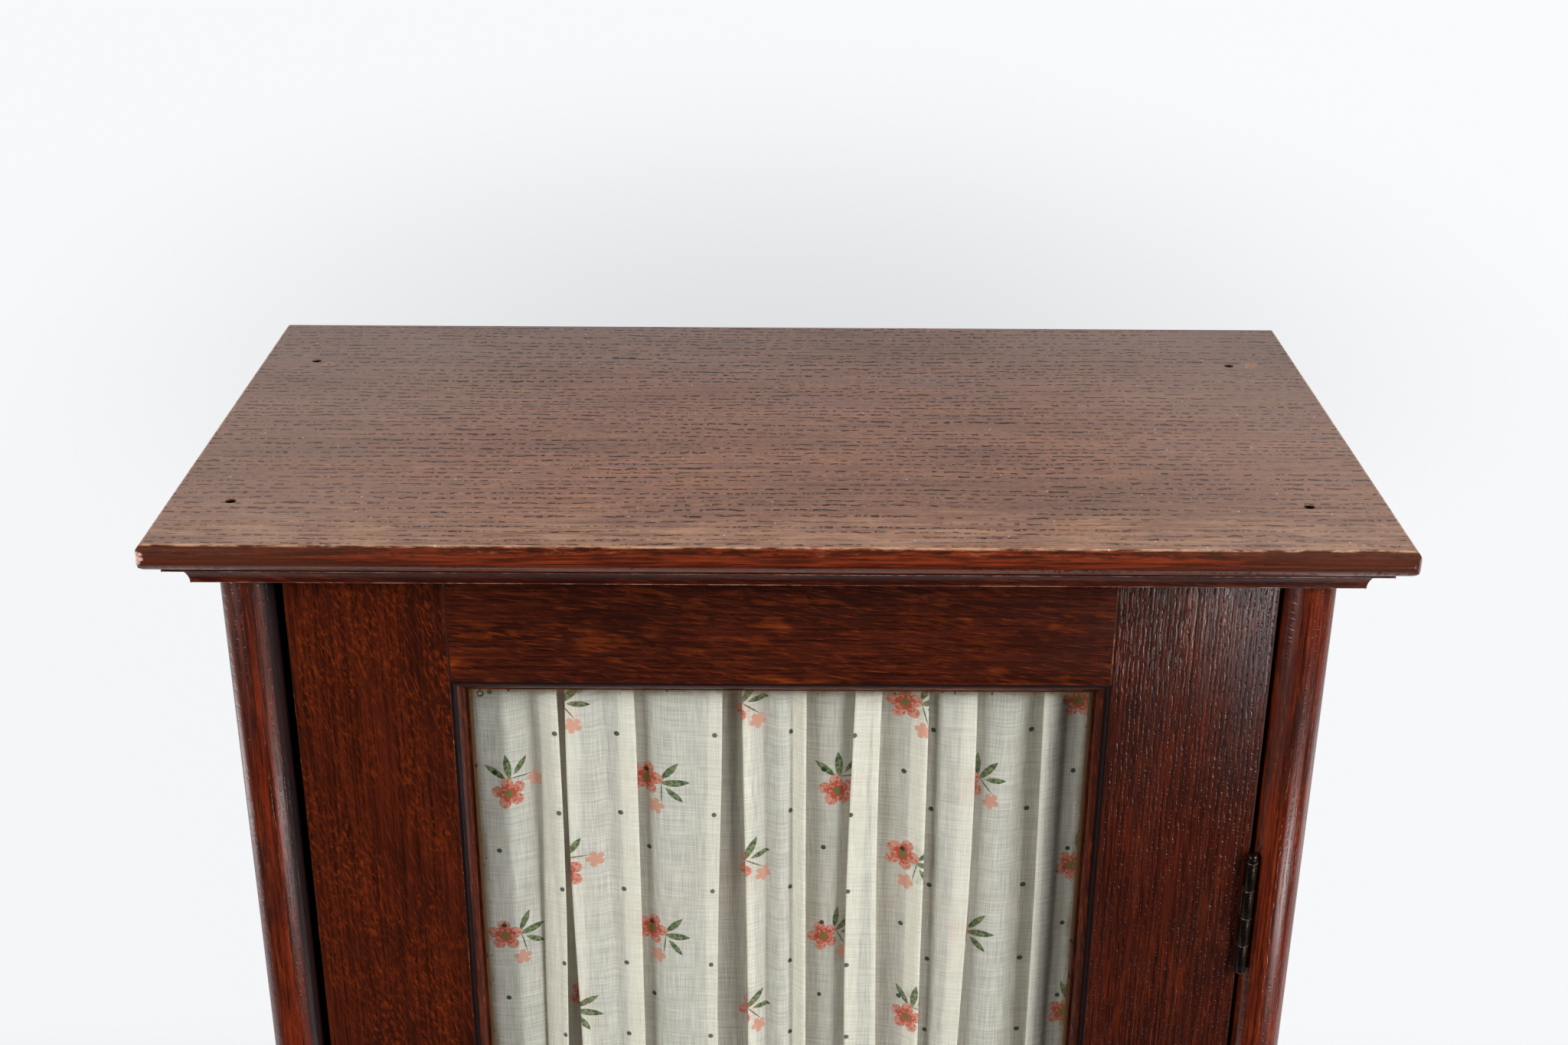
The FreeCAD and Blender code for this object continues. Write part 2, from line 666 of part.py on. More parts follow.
def hinge_pins():
    """Both hinge pins, each with a domed head standing on the top knuckle."""
    dome_radius = (PIN_HEAD_RADIUS**2 + PIN_DOME**2) / (2 * PIN_DOME)
    half_turn = math.asin(PIN_HEAD_RADIUS / dome_radius) / 2
    pins = []
    for z0 in HINGE_BOTTOMS.values():
        top = z0 + HINGE_LENGTH
        tip = top + PIN_HEAD_HEIGHT
        dome_middle = (
            dome_radius * math.sin(half_turn),
            tip - dome_radius * (1 - math.cos(half_turn)),
        )
        section = face(
            lambda r, z: V(X_HINGE + r, Y_HINGE, z),
            (0, z0),
            (PIN_RADIUS, z0),
            (PIN_RADIUS, top),
            (PIN_HEAD_RADIUS, top),
            (PIN_HEAD_RADIUS, tip - PIN_DOME),
            (dome_middle, (0, tip)),
        )
        pins.append(section.revolve(V(X_HINGE, Y_HINGE, 0), V(0, 0, 1), 360))
    return Part.makeCompound(pins)


def curtain_rod(level):
    """Rod that carries one edge of the curtain."""
    x = wider(X_EYES, ROD_OVERHANG)
    return rod(V(x[0], Y_ROD, ROD_HEIGHTS[level]), V(x[1] - x[0], 0, 0), ROD_RADIUS)


def rod_eyes():
    """Four ringed eyes on the back of the door that hold the rods."""
    bore = ROD_RADIUS + EYE_PLAY
    eyes = []
    for z in ROD_HEIGHTS.values():
        for x in X_EYES:
            start = V(x - EYE_RING_THICK / 2, Y_ROD, z)
            across = V(EYE_RING_THICK, 0, 0)
            base = rod(V(x, Y_DOOR_BACK, z), V(0, EYE_BASE_THICK, 0), EYE_BASE_RADIUS)
            x_ring = (start.x, start.x + EYE_RING_THICK)
            z_neck = wider((z, z), EYE_RING_WALL)
            neck = box(x_ring, (Y_DOOR_BACK, Y_ROD), z_neck)
            eye = base.fuse(neck).fuse(rod(start, across, bore + EYE_RING_WALL))
            eyes.append(eye.cut(rod(start, across, bore)).removeSplitter())
    return Part.makeCompound(eyes)


def fold_arcs(x, widths):
    """One run of folds as (start x, width, side) for each half wave, turning to and fro."""
    arcs = []
    side = 1
    for width in widths:
        arcs.append((x, width, side))
        x += width
        side = -side
    return arcs


def fold_point(arc, share, offset):
    """Point on a half wave, share of its way along, moved off the cloth's middle by offset."""
    x, width, side = arc
    radius = width / (2 * math.sin(FOLD_TURN))
    turn = (2 * share - 1) * FOLD_TURN
    reach = radius + side * offset
    middle_y = Y_ROD - side * radius * math.cos(FOLD_TURN)
    return (x + width / 2 + reach * math.sin(turn), middle_y + side * reach * math.cos(turn))


def curtain():
    """Cloth gathered in upright folds, with both rods passed through the folds."""
    arcs = fold_arcs(CURTAIN_X[0], [FOLD_UNIT * share for share in FOLD_SHARES])
    half = CURTAIN_THICK / 2
    there = [(fold_point(a, 0.5, half), fold_point(a, 1, half)) for a in arcs]
    back = [(fold_point(a, 0.5, -half), fold_point(a, 0, -half)) for a in reversed(arcs)]
    z = (ROD_HEIGHTS["bottom"] - CURTAIN_HEM, ROD_HEIGHTS["top"] + CURTAIN_HEADING)
    plan = face(
        in_plan(z[0]),
        fold_point(arcs[0], 0, half),
        *there,
        fold_point(arcs[-1], 1, -half),
        *back,
    )
    cloth = plan.extrude(V(0, 0, z[1] - z[0]))
    slit = ROD_RADIUS + CASING_PLAY
    for height in ROD_HEIGHTS.values():
        room = box(X_EYES, wider((Y_ROD, Y_ROD), slit), wider((height, height), slit))
        cloth = cloth.cut(room)
    return cloth


def keyhole(y, play):
    """Hole for the shank with a slot below it for the bit, through the depths y."""
    depth = V(0, y[1] - y[0], 0)
    hole = rod(V(X_KEY, y[0], Z_KEY), depth, SHANK_RADIUS + play)
    x = wider((X_KEY, X_KEY), BIT_THICK / 2 + play)
    return hole.fuse(box(x, y, (Z_KEY - BIT_RADIUS - play, Z_KEY))).removeSplitter()


LOCK_X = (X_DOOR_LEFT, X_DOOR_LEFT + LOCK_WIDTH)
LOCK_Z = (Z_KEY - LOCK_HEIGHT / 2, Z_KEY + LOCK_HEIGHT / 2)


def lock_room():
    """Pocket in the left stile that the lock case fills."""
    return box(LOCK_X, (Y_LOCK, Y_DOOR_BACK), LOCK_Z)


def lock_case():
    """Hollow case let into the back of the stile, open for the bolt and the key."""
    inside_y = (Y_LOCK + LOCK_WALL, Y_DOOR_BACK - LOCK_WALL)
    case = lock_room().cut(box(wider(LOCK_X, -LOCK_WALL), inside_y, wider(LOCK_Z, -LOCK_WALL)))
    case = case.cut(keyhole((Y_LOCK, inside_y[0]), SHANK_PLAY))
    slot_x = (X_DOOR_LEFT, X_DOOR_LEFT + LOCK_WALL)
    return case.cut(box(slot_x, wider(BOLT_Y, BOLT_PLAY), wider(BOLT_Z, BOLT_PLAY)))


def lock_bolt():
    """Bolt drawn back into the lock, with the talon that the key's bit works in."""
    talon = X_KEY + BOLT_THROW / 2
    talon_x = wider((talon, talon), TALON_WIDTH / 2)
    bolt = box((X_DOOR_LEFT + BOLT_PLAY, talon_x[1] + BOLT_TAIL), BOLT_Y, BOLT_Z)
    return bolt.cut(box(talon_x, BOLT_Y, (BOLT_Z[0], BOLT_Z[0] + TALON_DEPTH)))


def key():
    """Key in the lock, leaning to the side where the bolt is drawn back."""
    y_end = Y_BOLT + BIT_WIDTH / 2
    y_bow = Y_DOOR - KEY_REACH + BOW_RADIUS
    y_shank = y_bow + BOW_HOLE_RADIUS
    shank = rod(V(X_KEY, y_shank, Z_KEY), V(0, y_end - y_shank, 0), SHANK_RADIUS)
    ring_start = V(X_KEY - BOW_THICK / 2, y_bow, Z_KEY)
    ring = rod(ring_start, V(BOW_THICK, 0, 0), BOW_RADIUS)
    ring = ring.cut(rod(ring_start, V(BOW_THICK, 0, 0), BOW_HOLE_RADIUS))
    collar_end = Y_DOOR - ESCUTCHEON_THICK - COLLAR_STANDOFF
    collar = rod(V(X_KEY, collar_end - COLLAR_LENGTH, Z_KEY), V(0, COLLAR_LENGTH, 0), COLLAR_RADIUS)
    bit_x = wider((X_KEY, X_KEY), BIT_THICK / 2)
    bit = box(bit_x, (y_end - BIT_WIDTH, y_end), (Z_KEY, Z_KEY + BIT_RADIUS))
    whole = shank.cut(rod(ring_start, V(BOW_THICK, 0, 0), BOW_HOLE_RADIUS))
    whole = whole.fuse(ring).fuse(collar).fuse(bit).removeSplitter()
    whole.rotate(V(X_KEY, 0, Z_KEY), V(0, 1, 0), BIT_LEAN)
    return whole


def escutcheon():
    """Plate with round ends over the keyhole."""
    end = ESCUTCHEON_WIDTH / 2
    straight = ESCUTCHEON_HEIGHT / 2 - end
    plate = face(
        in_front_view(Y_DOOR - ESCUTCHEON_THICK),
        (X_KEY - end, Z_KEY - straight),
        ((X_KEY, Z_KEY - straight - end), (X_KEY + end, Z_KEY - straight)),
        (X_KEY + end, Z_KEY + straight),
        ((X_KEY, Z_KEY + straight + end), (X_KEY - end, Z_KEY + straight)),
    ).extrude(V(0, ESCUTCHEON_THICK, 0))
    return plate.cut(keyhole((Y_DOOR - ESCUTCHEON_THICK, Y_DOOR), SHANK_PLAY))


STRIKE_X = (-X_POST_INNER - STRIKE_THICK, -X_POST_INNER)
STRIKE_Z = wider(BOLT_Z, STRIKE_MARGIN)
STRIKE_Y = wider(BOLT_Y, STRIKE_PLAY + STRIKE_THICK)


def bolt_room():
    """Space that the thrown bolt needs in the post and its plate."""
    reach = BOLT_THROW - GAP_LOCK_SIDE + STRIKE_PLAY
    x = (-X_POST_INNER - reach, -X_POST_INNER)
    return box(x, wider(BOLT_Y, STRIKE_PLAY), wider(BOLT_Z, STRIKE_PLAY))


def strike_room():
    """Recess in the post for the strike plate."""
    return box(STRIKE_X, STRIKE_Y, STRIKE_Z)


def save_carcass():
    """Everything that stands still."""
    save("top_board", top_board())
    side = under_moulding_right()
    save("under_moulding_front", under_moulding_front())
    save("under_moulding_right", drill_top_holes(side))
    save("under_moulding_left", drill_top_holes(mirrored(side)))
    save("under_frame_back", under_frame_back())
    post = front_post()
    save("front_post_right", let_in_hinges(post, POST_LEAF_X))
    save("front_post_left", mirrored(post).cut(strike_room()).cut(bolt_room()))
    pairs = {
        "rear_post": rear_post(),
        "side_panel": side_panel(),
        "side_rail_top": side_rail("top"),
        "side_rail_bottom": side_rail("bottom"),
    }
    for name, shape in pairs.items():
        save(name + "_right", shape)
        save(name + "_left", mirrored(shape))
    save("front_rail", front_rail())
    for level in BACK_RAILS:
        save("back_rail_" + level, back_rail(level))
    for index in range(BACK_BOARDS):
        save(f"back_board_{index + 1}", back_board(index))
    save("floor_board", floor_board())
    for index in range(SHELF_COUNT):
        save(f"shelf_{index + 1}", shelf(index))
    save("shelf_cleats", shelf_cleats())
    save("door_stop_top", door_stop_top())
    save("door_stop_left", door_stop_left())
    save("strike_plate", strike_room().cut(bolt_room()))


def save_hinges():
    """Both hinges: leaves and pins."""
    for level, z0 in HINGE_BOTTOMS.items():
        save("hinge_door_leaf_" + level, hinge_leaf(DOOR_LEAF_X, z0, 1))
        save("hinge_post_leaf_" + level, hinge_leaf(POST_LEAF_X, z0, 0))
    save("hinge_pins", hinge_pins())


def save_door():
    """Door frame, glazing and curtain."""
    left = door_stile((X_DOOR_LEFT, OPENING_X[0])).cut(lock_room())
    save("door_stile_left", left.cut(keyhole((Y_DOOR, Y_LOCK), SHANK_PLAY)))
    right = door_stile((OPENING_X[1], X_DOOR_RIGHT))
    save("door_stile_right", let_in_hinges(right, DOOR_LEAF_X))
    for level in DOOR_RAILS:
        save("door_rail_" + level, door_rail(level))
    for side in ("left", "right", "top", "bottom"):
        save("glazing_bead_" + side, mitred_bead(side, bead_profile))
        save("inner_bead_" + side, mitred_bead(side, plain_profile))
    save("glass_pane", glass_pane())
    save("curtain", curtain())
    for level in ROD_HEIGHTS:
        save("curtain_rod_" + level, curtain_rod(level))
    save("rod_eyes", rod_eyes())


def save_lock():
    """Lock, bolt, key and the plate round the keyhole."""
    save("lock_case", lock_case())
    save("lock_bolt", lock_bolt())
    save("key", key())
    save("escutcheon", escutcheon())


save_carcass()
save_hinges()
save_door()
save_lock()
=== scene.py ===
"""Looks of the glass-door cabinet: old stained oak, dark bronze hinges, a clear pane and a gathered
curtain of printed voile.

Lengths are in metres in the CAD frame: X runs to the right, Y to the back and Z up.
"""
import math
from types import SimpleNamespace

import bpy
import numpy as np
from mathutils import Matrix, Vector


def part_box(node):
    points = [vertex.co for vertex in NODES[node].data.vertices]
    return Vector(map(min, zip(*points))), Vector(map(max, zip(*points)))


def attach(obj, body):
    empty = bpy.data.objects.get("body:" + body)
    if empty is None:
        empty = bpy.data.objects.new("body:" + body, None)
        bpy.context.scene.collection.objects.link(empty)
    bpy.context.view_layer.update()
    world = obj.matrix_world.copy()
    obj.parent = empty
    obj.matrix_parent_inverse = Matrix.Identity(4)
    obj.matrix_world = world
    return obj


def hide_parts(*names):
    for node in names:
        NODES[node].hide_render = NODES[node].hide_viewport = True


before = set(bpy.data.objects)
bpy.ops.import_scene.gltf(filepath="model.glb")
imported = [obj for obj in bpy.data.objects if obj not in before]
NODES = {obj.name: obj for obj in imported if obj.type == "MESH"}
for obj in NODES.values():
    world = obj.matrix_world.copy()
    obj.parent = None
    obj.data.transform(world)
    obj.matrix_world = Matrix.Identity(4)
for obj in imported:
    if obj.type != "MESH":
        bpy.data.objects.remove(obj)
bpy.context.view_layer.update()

# Camera, as found from the photograph's perspective
PHOTO_WIDTH = 2048
FOCAL_PIXELS = 2670
SENSOR_WIDTH = 36.0
CAMERA_PLACE = (0.0020, -1.1855, 1.5488)
CAMERA_PITCH = math.radians(24.33)
CAMERA_YAW = math.radians(-0.05)
CAMERA_ROLL = math.radians(-0.33)

# Strength of the surround as light, in front of the door and behind the cabinet
ROOM_FRONT = 0.015
ROOM_BACK = 0.95

# Stage: an oval floor and a backdrop that both fade out into a white surround
FLOOR_REACH = 2.6
FLOOR_DEPTH = 0.95
FLOOR_MIDDLE = 0.2
BACKDROP_Y = 0.42
BACKDROP_HEIGHT = 1.0
BACKDROP_REACH = 2.6
# Painted shadow on the backdrop behind the top: place, squeeze and share of the glow taken away
BACKDROP_SHADE = ((0, BACKDROP_Y, 0.97), (1.4, 1, 3.6), 0.2)
BACKDROP_SINK = (0.3, 0.05)
FLOOR_ALBEDO = 0.8
BACKDROP_ALBEDO = 0.05
BACKDROP_GLOW = 0.95
FADE_SHARE = 0.45
STAGE_WHITE = "f6f7f9"

# Lamps: place, target, size and power in watts
LAMPS = {
    "key_lamp": ((2.6, -2.0, 2.4), (0, 0, 0.9), (1.6, 1.6), 178),
    "fill_lamp": ((-2.6, -2.2, 2.1), (0, 0, 0.9), (1.6, 1.6), 112),
    "low_lamp_front": ((1.15, -1.7, 0.2), (0.25, -0.14, 0.95), (0.85, 0.22), 5.5),
    "low_lamp_posts": ((1.15, -1.05, 0.34), (0, -0.15, 0.97), (0.45, 0.28), 2.0),
    "low_lamp_right": ((1.9, 0.25, 0.25), (0.3, -0.12, 0.9), (0.9, 0.3), 1.2),
    "low_lamp_left": ((-1.9, 0.25, 0.25), (-0.3, -0.12, 0.9), (0.9, 0.3), 2.4),
}

# Top board: how far its upper arris stands back from the nose, where its look changes, a chipped
# corner, a plug and two filled holes. Pairs are where a change starts and where it is full: SHOULDER
# below the top; above the bottom, the nose's underside with its painted shade and the pale lip, partly
# rubbed and partly a painted highlight; from the middle, the greyed ends, whose grey on the flat top is
# a painted sheen; HOLE_INSET from the edges.
BOARD_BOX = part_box("top_board")
BOARD_LOW = BOARD_BOX[0].z
BOARD_HIGH = BOARD_BOX[1].z
NOSE_SETBACK = 0.0035
SHOULDER = 0.0075, 0.0025
UNDERSIDE_SHADE = 0.008, 0.003
LIP = 0.0030, 0.0012
GREYED_ENDS = 0.12, 0.31
HOLE_INSET = 0.010, 0.014
REAR_START = -0.06
WARM_REACH = 0.09
WARM_SHARE = 0.35
DUST_RATE = 38.0
CHIP_PLACE = (BOARD_BOX[0].x + 0.0015, BOARD_BOX[0].y + 0.0015, BOARD_BOX[1].z - 0.007)
PLUG_PLACE = (0.052, -0.007)
PLUG_RADIUS = 0.0058
OLD_HOLES = (((-0.302, 0.105), 0.0017, "2a140c"), ((0.3166, 0.112), 0.0019, "7c3a22"))

# Rounding of the arrises on the wooden pieces
ARRIS = 0.0007
ARRIS_FINE = 0.0003
ARRIS_ANGLE = math.radians(38)

# Pane: edges of the wood round it, the quirk beside the beads, and the sight edges of the beads
STILE_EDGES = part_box("door_stile_left")[1].x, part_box("door_stile_right")[0].x
RAIL_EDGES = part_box("door_rail_bottom")[1].z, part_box("glazing_bead_top")[1].z
QUIRK = 0.0030, 0.0036
SIGHT_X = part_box("glazing_bead_left")[1].x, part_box("glazing_bead_right")[0].x
SIGHT_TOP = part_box("glazing_bead_top")[0].z

# Back boards: from the first one's left edge, and the width of each
BACK_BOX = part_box("back_board_1")
BACK_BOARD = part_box("back_board_2")[0].x - BACK_BOX[0].x

# Hinge screws
SCREW_RADIUS = 0.0030
SCREW_PROUD = 0.0005
SCREW_SLOT = 0.15
SCREW_SPACING = 0.027
SCREW_STAGGER = 0.0035

# Small brass eye behind the pane's upper left corner
EYE_RING = 0.0017
EYE_WIRE = 0.0005
EYE_INSET = 0.0053
EYE_DROP = 0.0080

# Curtain
ROD_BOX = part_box("curtain_rod_top")
ROD_LOW_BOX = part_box("curtain_rod_bottom")
CLOTH_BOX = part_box("curtain")
ROD_Y = (ROD_BOX[0].y + ROD_BOX[1].y) / 2
ROD_TOP = (ROD_BOX[0].z + ROD_BOX[1].z) / 2
ROD_LOW = (ROD_LOW_BOX[0].z + ROD_LOW_BOX[1].z) / 2
ROD_RADIUS = (ROD_BOX[1].z - ROD_BOX[0].z) / 2
# Turns of the cloth from left to right: kind, place across, and depth of a bend or size of a pleat
CLOTH_PATH = (
    ("bend", -0.180, -0.0030), ("bend", -0.165, -0.0045), ("bend", -0.155, -0.0005),
    ("bend", -0.149, 0.0036), ("right", -0.1312, 0.014), ("left", -0.1272, 0.009),
    ("bend", -0.111, -0.0046), ("bend", -0.1055, -0.0012), ("bend", -0.099, -0.0036),
    ("right", -0.0864, 0.012), ("bend", -0.0805, 0.0018), ("bend", -0.074, -0.0024),
    ("bend", -0.064, -0.0046), ("bend", -0.048, -0.0052), ("right", -0.0332, 0.009),
    ("left", -0.0213, 0.007), ("bend", -0.0115, -0.0012), ("bend", -0.0090, 0.0020),
    ("bend", -0.0055, -0.0008), ("bend", -0.0010, -0.0036), ("bend", 0.0040, -0.0030),
    ("bend", 0.0070, 0.0002), ("right", 0.0172, 0.009), ("bend", 0.0280, 0.0014),
    ("bend", 0.0360, 0.0004), ("bend", 0.0420, 0.0020), ("left", 0.0453, 0.011),
    ("right", 0.0638, 0.005), ("bend", 0.0740, 0.0016), ("right", 0.0898, 0.011),
    ("bend", 0.0950, 0.0022), ("bend", 0.0990, -0.0018), ("bend", 0.1060, -0.0045),
    ("right", 0.1200, 0.010), ("bend", 0.1300, 0.0004), ("bend", 0.1380, -0.0016),
    ("bend", 0.1460, -0.0002), ("bend", 0.1510, 0.0026), ("left", 0.1584, 0.007),
    ("bend", 0.1690, -0.0024), ("bend", 0.1730, 0.0016), ("bend", 0.1800, 0.0026),
    ("bend", 0.1880, 0.0010),
)
# One pleat: shares of its size and depths from its front edge round to its back
PLEAT_TURN = (
    (0.35, -0.0056), (0.0, -0.0064), (0.12, -0.0046), (0.62, -0.0024), (1.0, -0.0001),
    (0.8, 0.0028), (0.15, 0.0036),
)
PLAN_STEP = 0.0002
CALM_EDGE = 0.03
FOLD_SMOOTH = 0.0028
SPRIG_PITCH = (0.086, 0.112)
DOT_PITCH = (0.043, 0.056)
VOILE_COVER = (0.62, 0.94)
VOILE_THROUGH = 0.3
CLOTH_COLUMNS = 520
CLOTH_ROWS = 150


def tone(code):
    """Linear colour from a six-digit sRGB code."""
    parts = [int(code[i:i + 2], 16) / 255 for i in (0, 2, 4)]
    linear = [c / 12.92 if c <= 0.04045 else ((c + 0.055) / 1.055) ** 2.4 for c in parts]
    return (*linear, 1.0)


class Finish:
    """One material and short ways to add the nodes that the finishes share."""

    def __init__(self, name):
        self.material = bpy.data.materials.new(name)
        self.material.use_nodes = True
        self.tree = self.material.node_tree
        self.tree.nodes.clear()

    def feed(self, socket, value):
        """Link a socket to a node's output, or set its own value."""
        if isinstance(value, bpy.types.NodeSocket):
            self.tree.links.new(value, socket)
        else:
            socket.default_value = value

    def node(self, kind, inputs=None, **settings):
        """New node with its settings and inputs."""
        made = self.tree.nodes.new("ShaderNode" + kind)
        for key, value in settings.items():
            setattr(made, key, value)
        for key, value in (inputs or {}).items():
            self.feed(made.inputs[key], value)
        return made

    def math(self, operation, *values):
        """Result of one sum on numbers."""
        made = self.node("Math", operation=operation)
        for socket, value in zip(made.inputs, values):
            self.feed(socket, value)
        return made.outputs[0]

    def vector(self, operation, a, b):
        """Result of one sum on vectors."""
        made = self.node("VectorMath", operation=operation)
        self.feed(made.inputs[0], a)
        self.feed(made.inputs[1], b)
        return made.outputs[0]

    def parts(self, vector):
        """The three numbers of a vector."""
        return self.node("SeparateXYZ", {0: vector}).outputs[:3]

    def joined(self, x=0.0, y=0.0, z=0.0):
        """Vector of three numbers."""
        return self.node("CombineXYZ", {0: x, 1: y, 2: z}).outputs[0]

    def place(self):
        """Object coordinates."""
        return self.node("TexCoord").outputs["Object"]

    def along_grain(self, axis):
        """Object coordinates turned so that the first one runs along the grain."""
        x, y, z = self.parts(self.place())
        return self.joined(*{"X": (x, z, y), "Y": (y, z, x), "Z": (z, x, y)}[axis])

    def noise(self, vector, rates, detail=2.0, rough=0.5, swirl=0.0):
        """Noise with its own rate, in waves per metre, along each direction."""
        scaled = self.vector("MULTIPLY", vector, rates)
        made = self.node(
            "TexNoise",
            {"Vector": scaled, "Scale": 1.0, "Detail": detail, "Roughness": rough, "Distortion": swirl},
        )
        return made.outputs["Fac"]

    def step(self, value, low, high):
        """Smooth rise from 0 at low to 1 at high; falls where low is above high."""
        made = self.node(
            "MapRange",
            {"Value": value, "From Min": low, "From Max": high},
            interpolation_type="SMOOTHSTEP",
        )
        return made.outputs[0]

    def mix(self, share, a, b):
        """Colour between a and b."""
        made = self.node("Mix", data_type="RGBA")
        self.feed(made.inputs[0], share)
        self.feed(made.inputs[6], a)
        self.feed(made.inputs[7], b)
        return made.outputs[2]

    def blend(self, share, a, b):
        """Number between a and b."""
        made = self.node("Mix", data_type="FLOAT")
        self.feed(made.inputs[0], share)
        self.feed(made.inputs[2], a)
        self.feed(made.inputs[3], b)
        return made.outputs[0]

    def times(self, *values):
        """Product of numbers."""
        product = values[0]
        for value in values[1:]:
            product = self.math("MULTIPLY", product, value)
        return product

    def largest(self, *values):
        """Largest of some numbers."""
        most = values[0]
        for value in values[1:]:
            most = self.math("MAXIMUM", most, value)
        return most

    def tint(self, colour, code, *shares):
        """Colour mixed with the tone of a code by the product of some shares."""
        return self.mix(self.times(*shares), colour, tone(code))

    def distance(self, a, b):
        """Distance between two places."""
        return self.node("VectorMath", {0: a, 1: b}, operation="DISTANCE").outputs["Value"]

    def length(self, vector):
        """Length of a vector."""
        return self.node("VectorMath", {0: vector}, operation="LENGTH").outputs["Value"]

    def bump(self, height, depth):
        """Normal raised by a height of 0 to 1 times depth in metres."""
        made = self.node("Bump", {"Height": height, "Distance": depth, "Strength": 1.0})
        return made.outputs[0]

    def surface(self, shader):
        """Put a shader on the surface and give back the material."""
        out = self.node("OutputMaterial")
        self.tree.links.new(shader, out.inputs["Surface"])
        return self.material

    def principled(self, **inputs):
        """Principled surface; names use _ for a space."""
        named = {key.replace("_", " "): value for key, value in inputs.items()}
        return self.surface(self.node("BsdfPrincipled", named).outputs[0])


def pore_rows(f, grain, row_rate, dash_rate, waver, width, ripples=0.45):
    """Short dashes in rows along the grain, as open oak pores lie, from 0 to 1."""
    along, across, deep = f.parts(grain)
    side = f.math("ADD", across, f.times(deep, 0.8))
    bend = f.noise(grain, (3.0, 18.0, 18.0), 3.0)
    ripple = f.noise(grain, (130.0, 130.0, 130.0), 2.0)
    line = f.math("MULTIPLY_ADD", side, row_rate, f.times(bend, waver))
    line = f.math("MULTIPLY_ADD", ripple, ripples, line)
    row = f.math("FLOOR", line)
    off = f.math("ABSOLUTE", f.math("SUBTRACT", f.math("FRACT", line), 0.5))
    dash = f.noise(f.joined(along, row), (dash_rate, 3.71, 1.0), 2.0, 0.6)
    run = f.noise(f.joined(along, row), (12.0, 5.13, 1.0), 1.0)
    length = f.times(f.step(dash, 0.44, 0.54), f.step(run, 0.26, 0.5))
    return f.times(f.step(off, width, width * 0.45), length)


def board_grain(f):
    """Noises and rows of pores along the top board."""
    grain = f.along_grain("X")
    shifted = f.vector("ADD", grain, (0.3, 0.017, 0.0))
    return SimpleNamespace(
        fibre=f.noise(grain, (14.0, 800.0, 800.0), 4.0, 0.6),
        band=f.noise(grain, (5.0, 130.0, 130.0), 3.0, 0.6),
        cloud=f.noise(grain, (4.0, 14.0, 14.0), 4.0, 0.55),
        tan=f.noise(grain, (26.0, 190.0, 190.0), 3.0, 0.6),
        streak=f.noise(grain, (26.0, 620.0, 620.0), 4.0, 0.65),
        crack=f.noise(grain, (70.0, 420.0, 420.0), 4.0, 0.7),
        chips=f.noise(f.place(), (70.0, 300.0, 300.0), 4.0, 0.7),
        pores=pore_rows(f, grain, 200.0, 200.0, 3.5, 0.17, 0.8),
        fine=pore_rows(f, shifted, 425.0, 240.0, 2.0, 0.3, 0.8),
    )


def board_wood(f, g, ends, y):
    """Colour of the flat top: brown fibres and dark pores, darker to the back, with a painted grey sheen at
    the ends.
    """
    wood = f.mix(f.step(g.fibre, 0.3, 0.72), tone("5a2c15"), tone("935b30"))
    wood = f.tint(wood, "633319", f.step(g.band, 0.4, 0.7), 0.5)
    wood = f.tint(wood, "a4683a", f.step(g.tan, 0.56, 0.76), 0.45)
    wood = f.tint(wood, "3f2b22", f.step(g.cloud, 0.48, 0.72), 0.4)
    wood = f.tint(wood, "3f1c0d", f.step(y, REAR_START, BOARD_BOX[1].y), 0.5)
    wood = f.tint(wood, "2c130a", g.fine, 0.4)
    wood = f.tint(wood, "150906", g.pores, 0.9)
    # Grey towards both ends of the flat top: a painted sheen.
    return f.tint(wood, "7a6457", ends, 0.3)


def nose_skin(f, g, ends, z):
    """Nose colour: red streaks, a cracked shoulder, painted shade underneath, dull ends, a pale lip of wear
    and painted highlight.
    """
    skin = f.mix(f.step(g.streak, 0.34, 0.62), tone("6e2813"), tone("341109"))
    shoulder = f.step(z, BOARD_HIGH - SHOULDER[0], BOARD_HIGH - SHOULDER[1])
    skin = f.tint(skin, "25100a", shoulder, f.step(g.crack, 0.48, 0.62))
    skin = f.tint(skin, "7e4a32", shoulder, f.step(g.crack, 0.42, 0.26))
    # Painted shade on the underside of the nose.
    skin = f.tint(skin, "3a0d06", f.step(z, BOARD_LOW + UNDERSIDE_SHADE[0], BOARD_LOW + UNDERSIDE_SHADE[1]), 0.6)
    skin = f.tint(skin, "3d1f15", ends, f.step(g.band, 0.3, 0.6), 0.8)
    # The pale lip is partly rubbed wear and partly a painted highlight.
    lip = f.step(z, BOARD_LOW + LIP[0], BOARD_LOW + LIP[1])
    return f.tint(skin, "9a6450", lip, f.step(g.chips, 0.3, 0.5), 0.6)


def board_marks(f, wood, x, y, z):
    """Old filled holes, the ring round a plug and specks of dust on the flat top."""
    flat = f.joined(x, y)
    for place, radius, colour in OLD_HOLES:
        far = f.distance(flat, (*place, 0.0))
        wood = f.mix(f.step(far, radius * 3.2, radius), wood, tone("8a5c3c"))
        wood = f.mix(f.step(far, radius, radius * 0.75), wood, tone(colour))
    off_rim = f.math("ABSOLUTE", f.math("SUBTRACT", f.distance(flat, (*PLUG_PLACE, 0.0)), PLUG_RADIUS))
    wood = f.tint(wood, "3a150d", f.step(off_rim, 0.0007, 0.0002), 0.55)
    dust = f.node("TexVoronoi", {"Vector": f.place(), "Scale": DUST_RATE}, voronoi_dimensions="2D")
    speck = f.step(dust.outputs["Distance"], 0.024, 0.012)
    chosen = f.step(f.parts(dust.outputs["Color"])[0], 0.78, 0.8)
    on_top = f.step(z, BOARD_HIGH - 0.0010, BOARD_HIGH - 0.0002)
    return f.tint(wood, "d9cfc6", speck, chosen, on_top, 0.8)


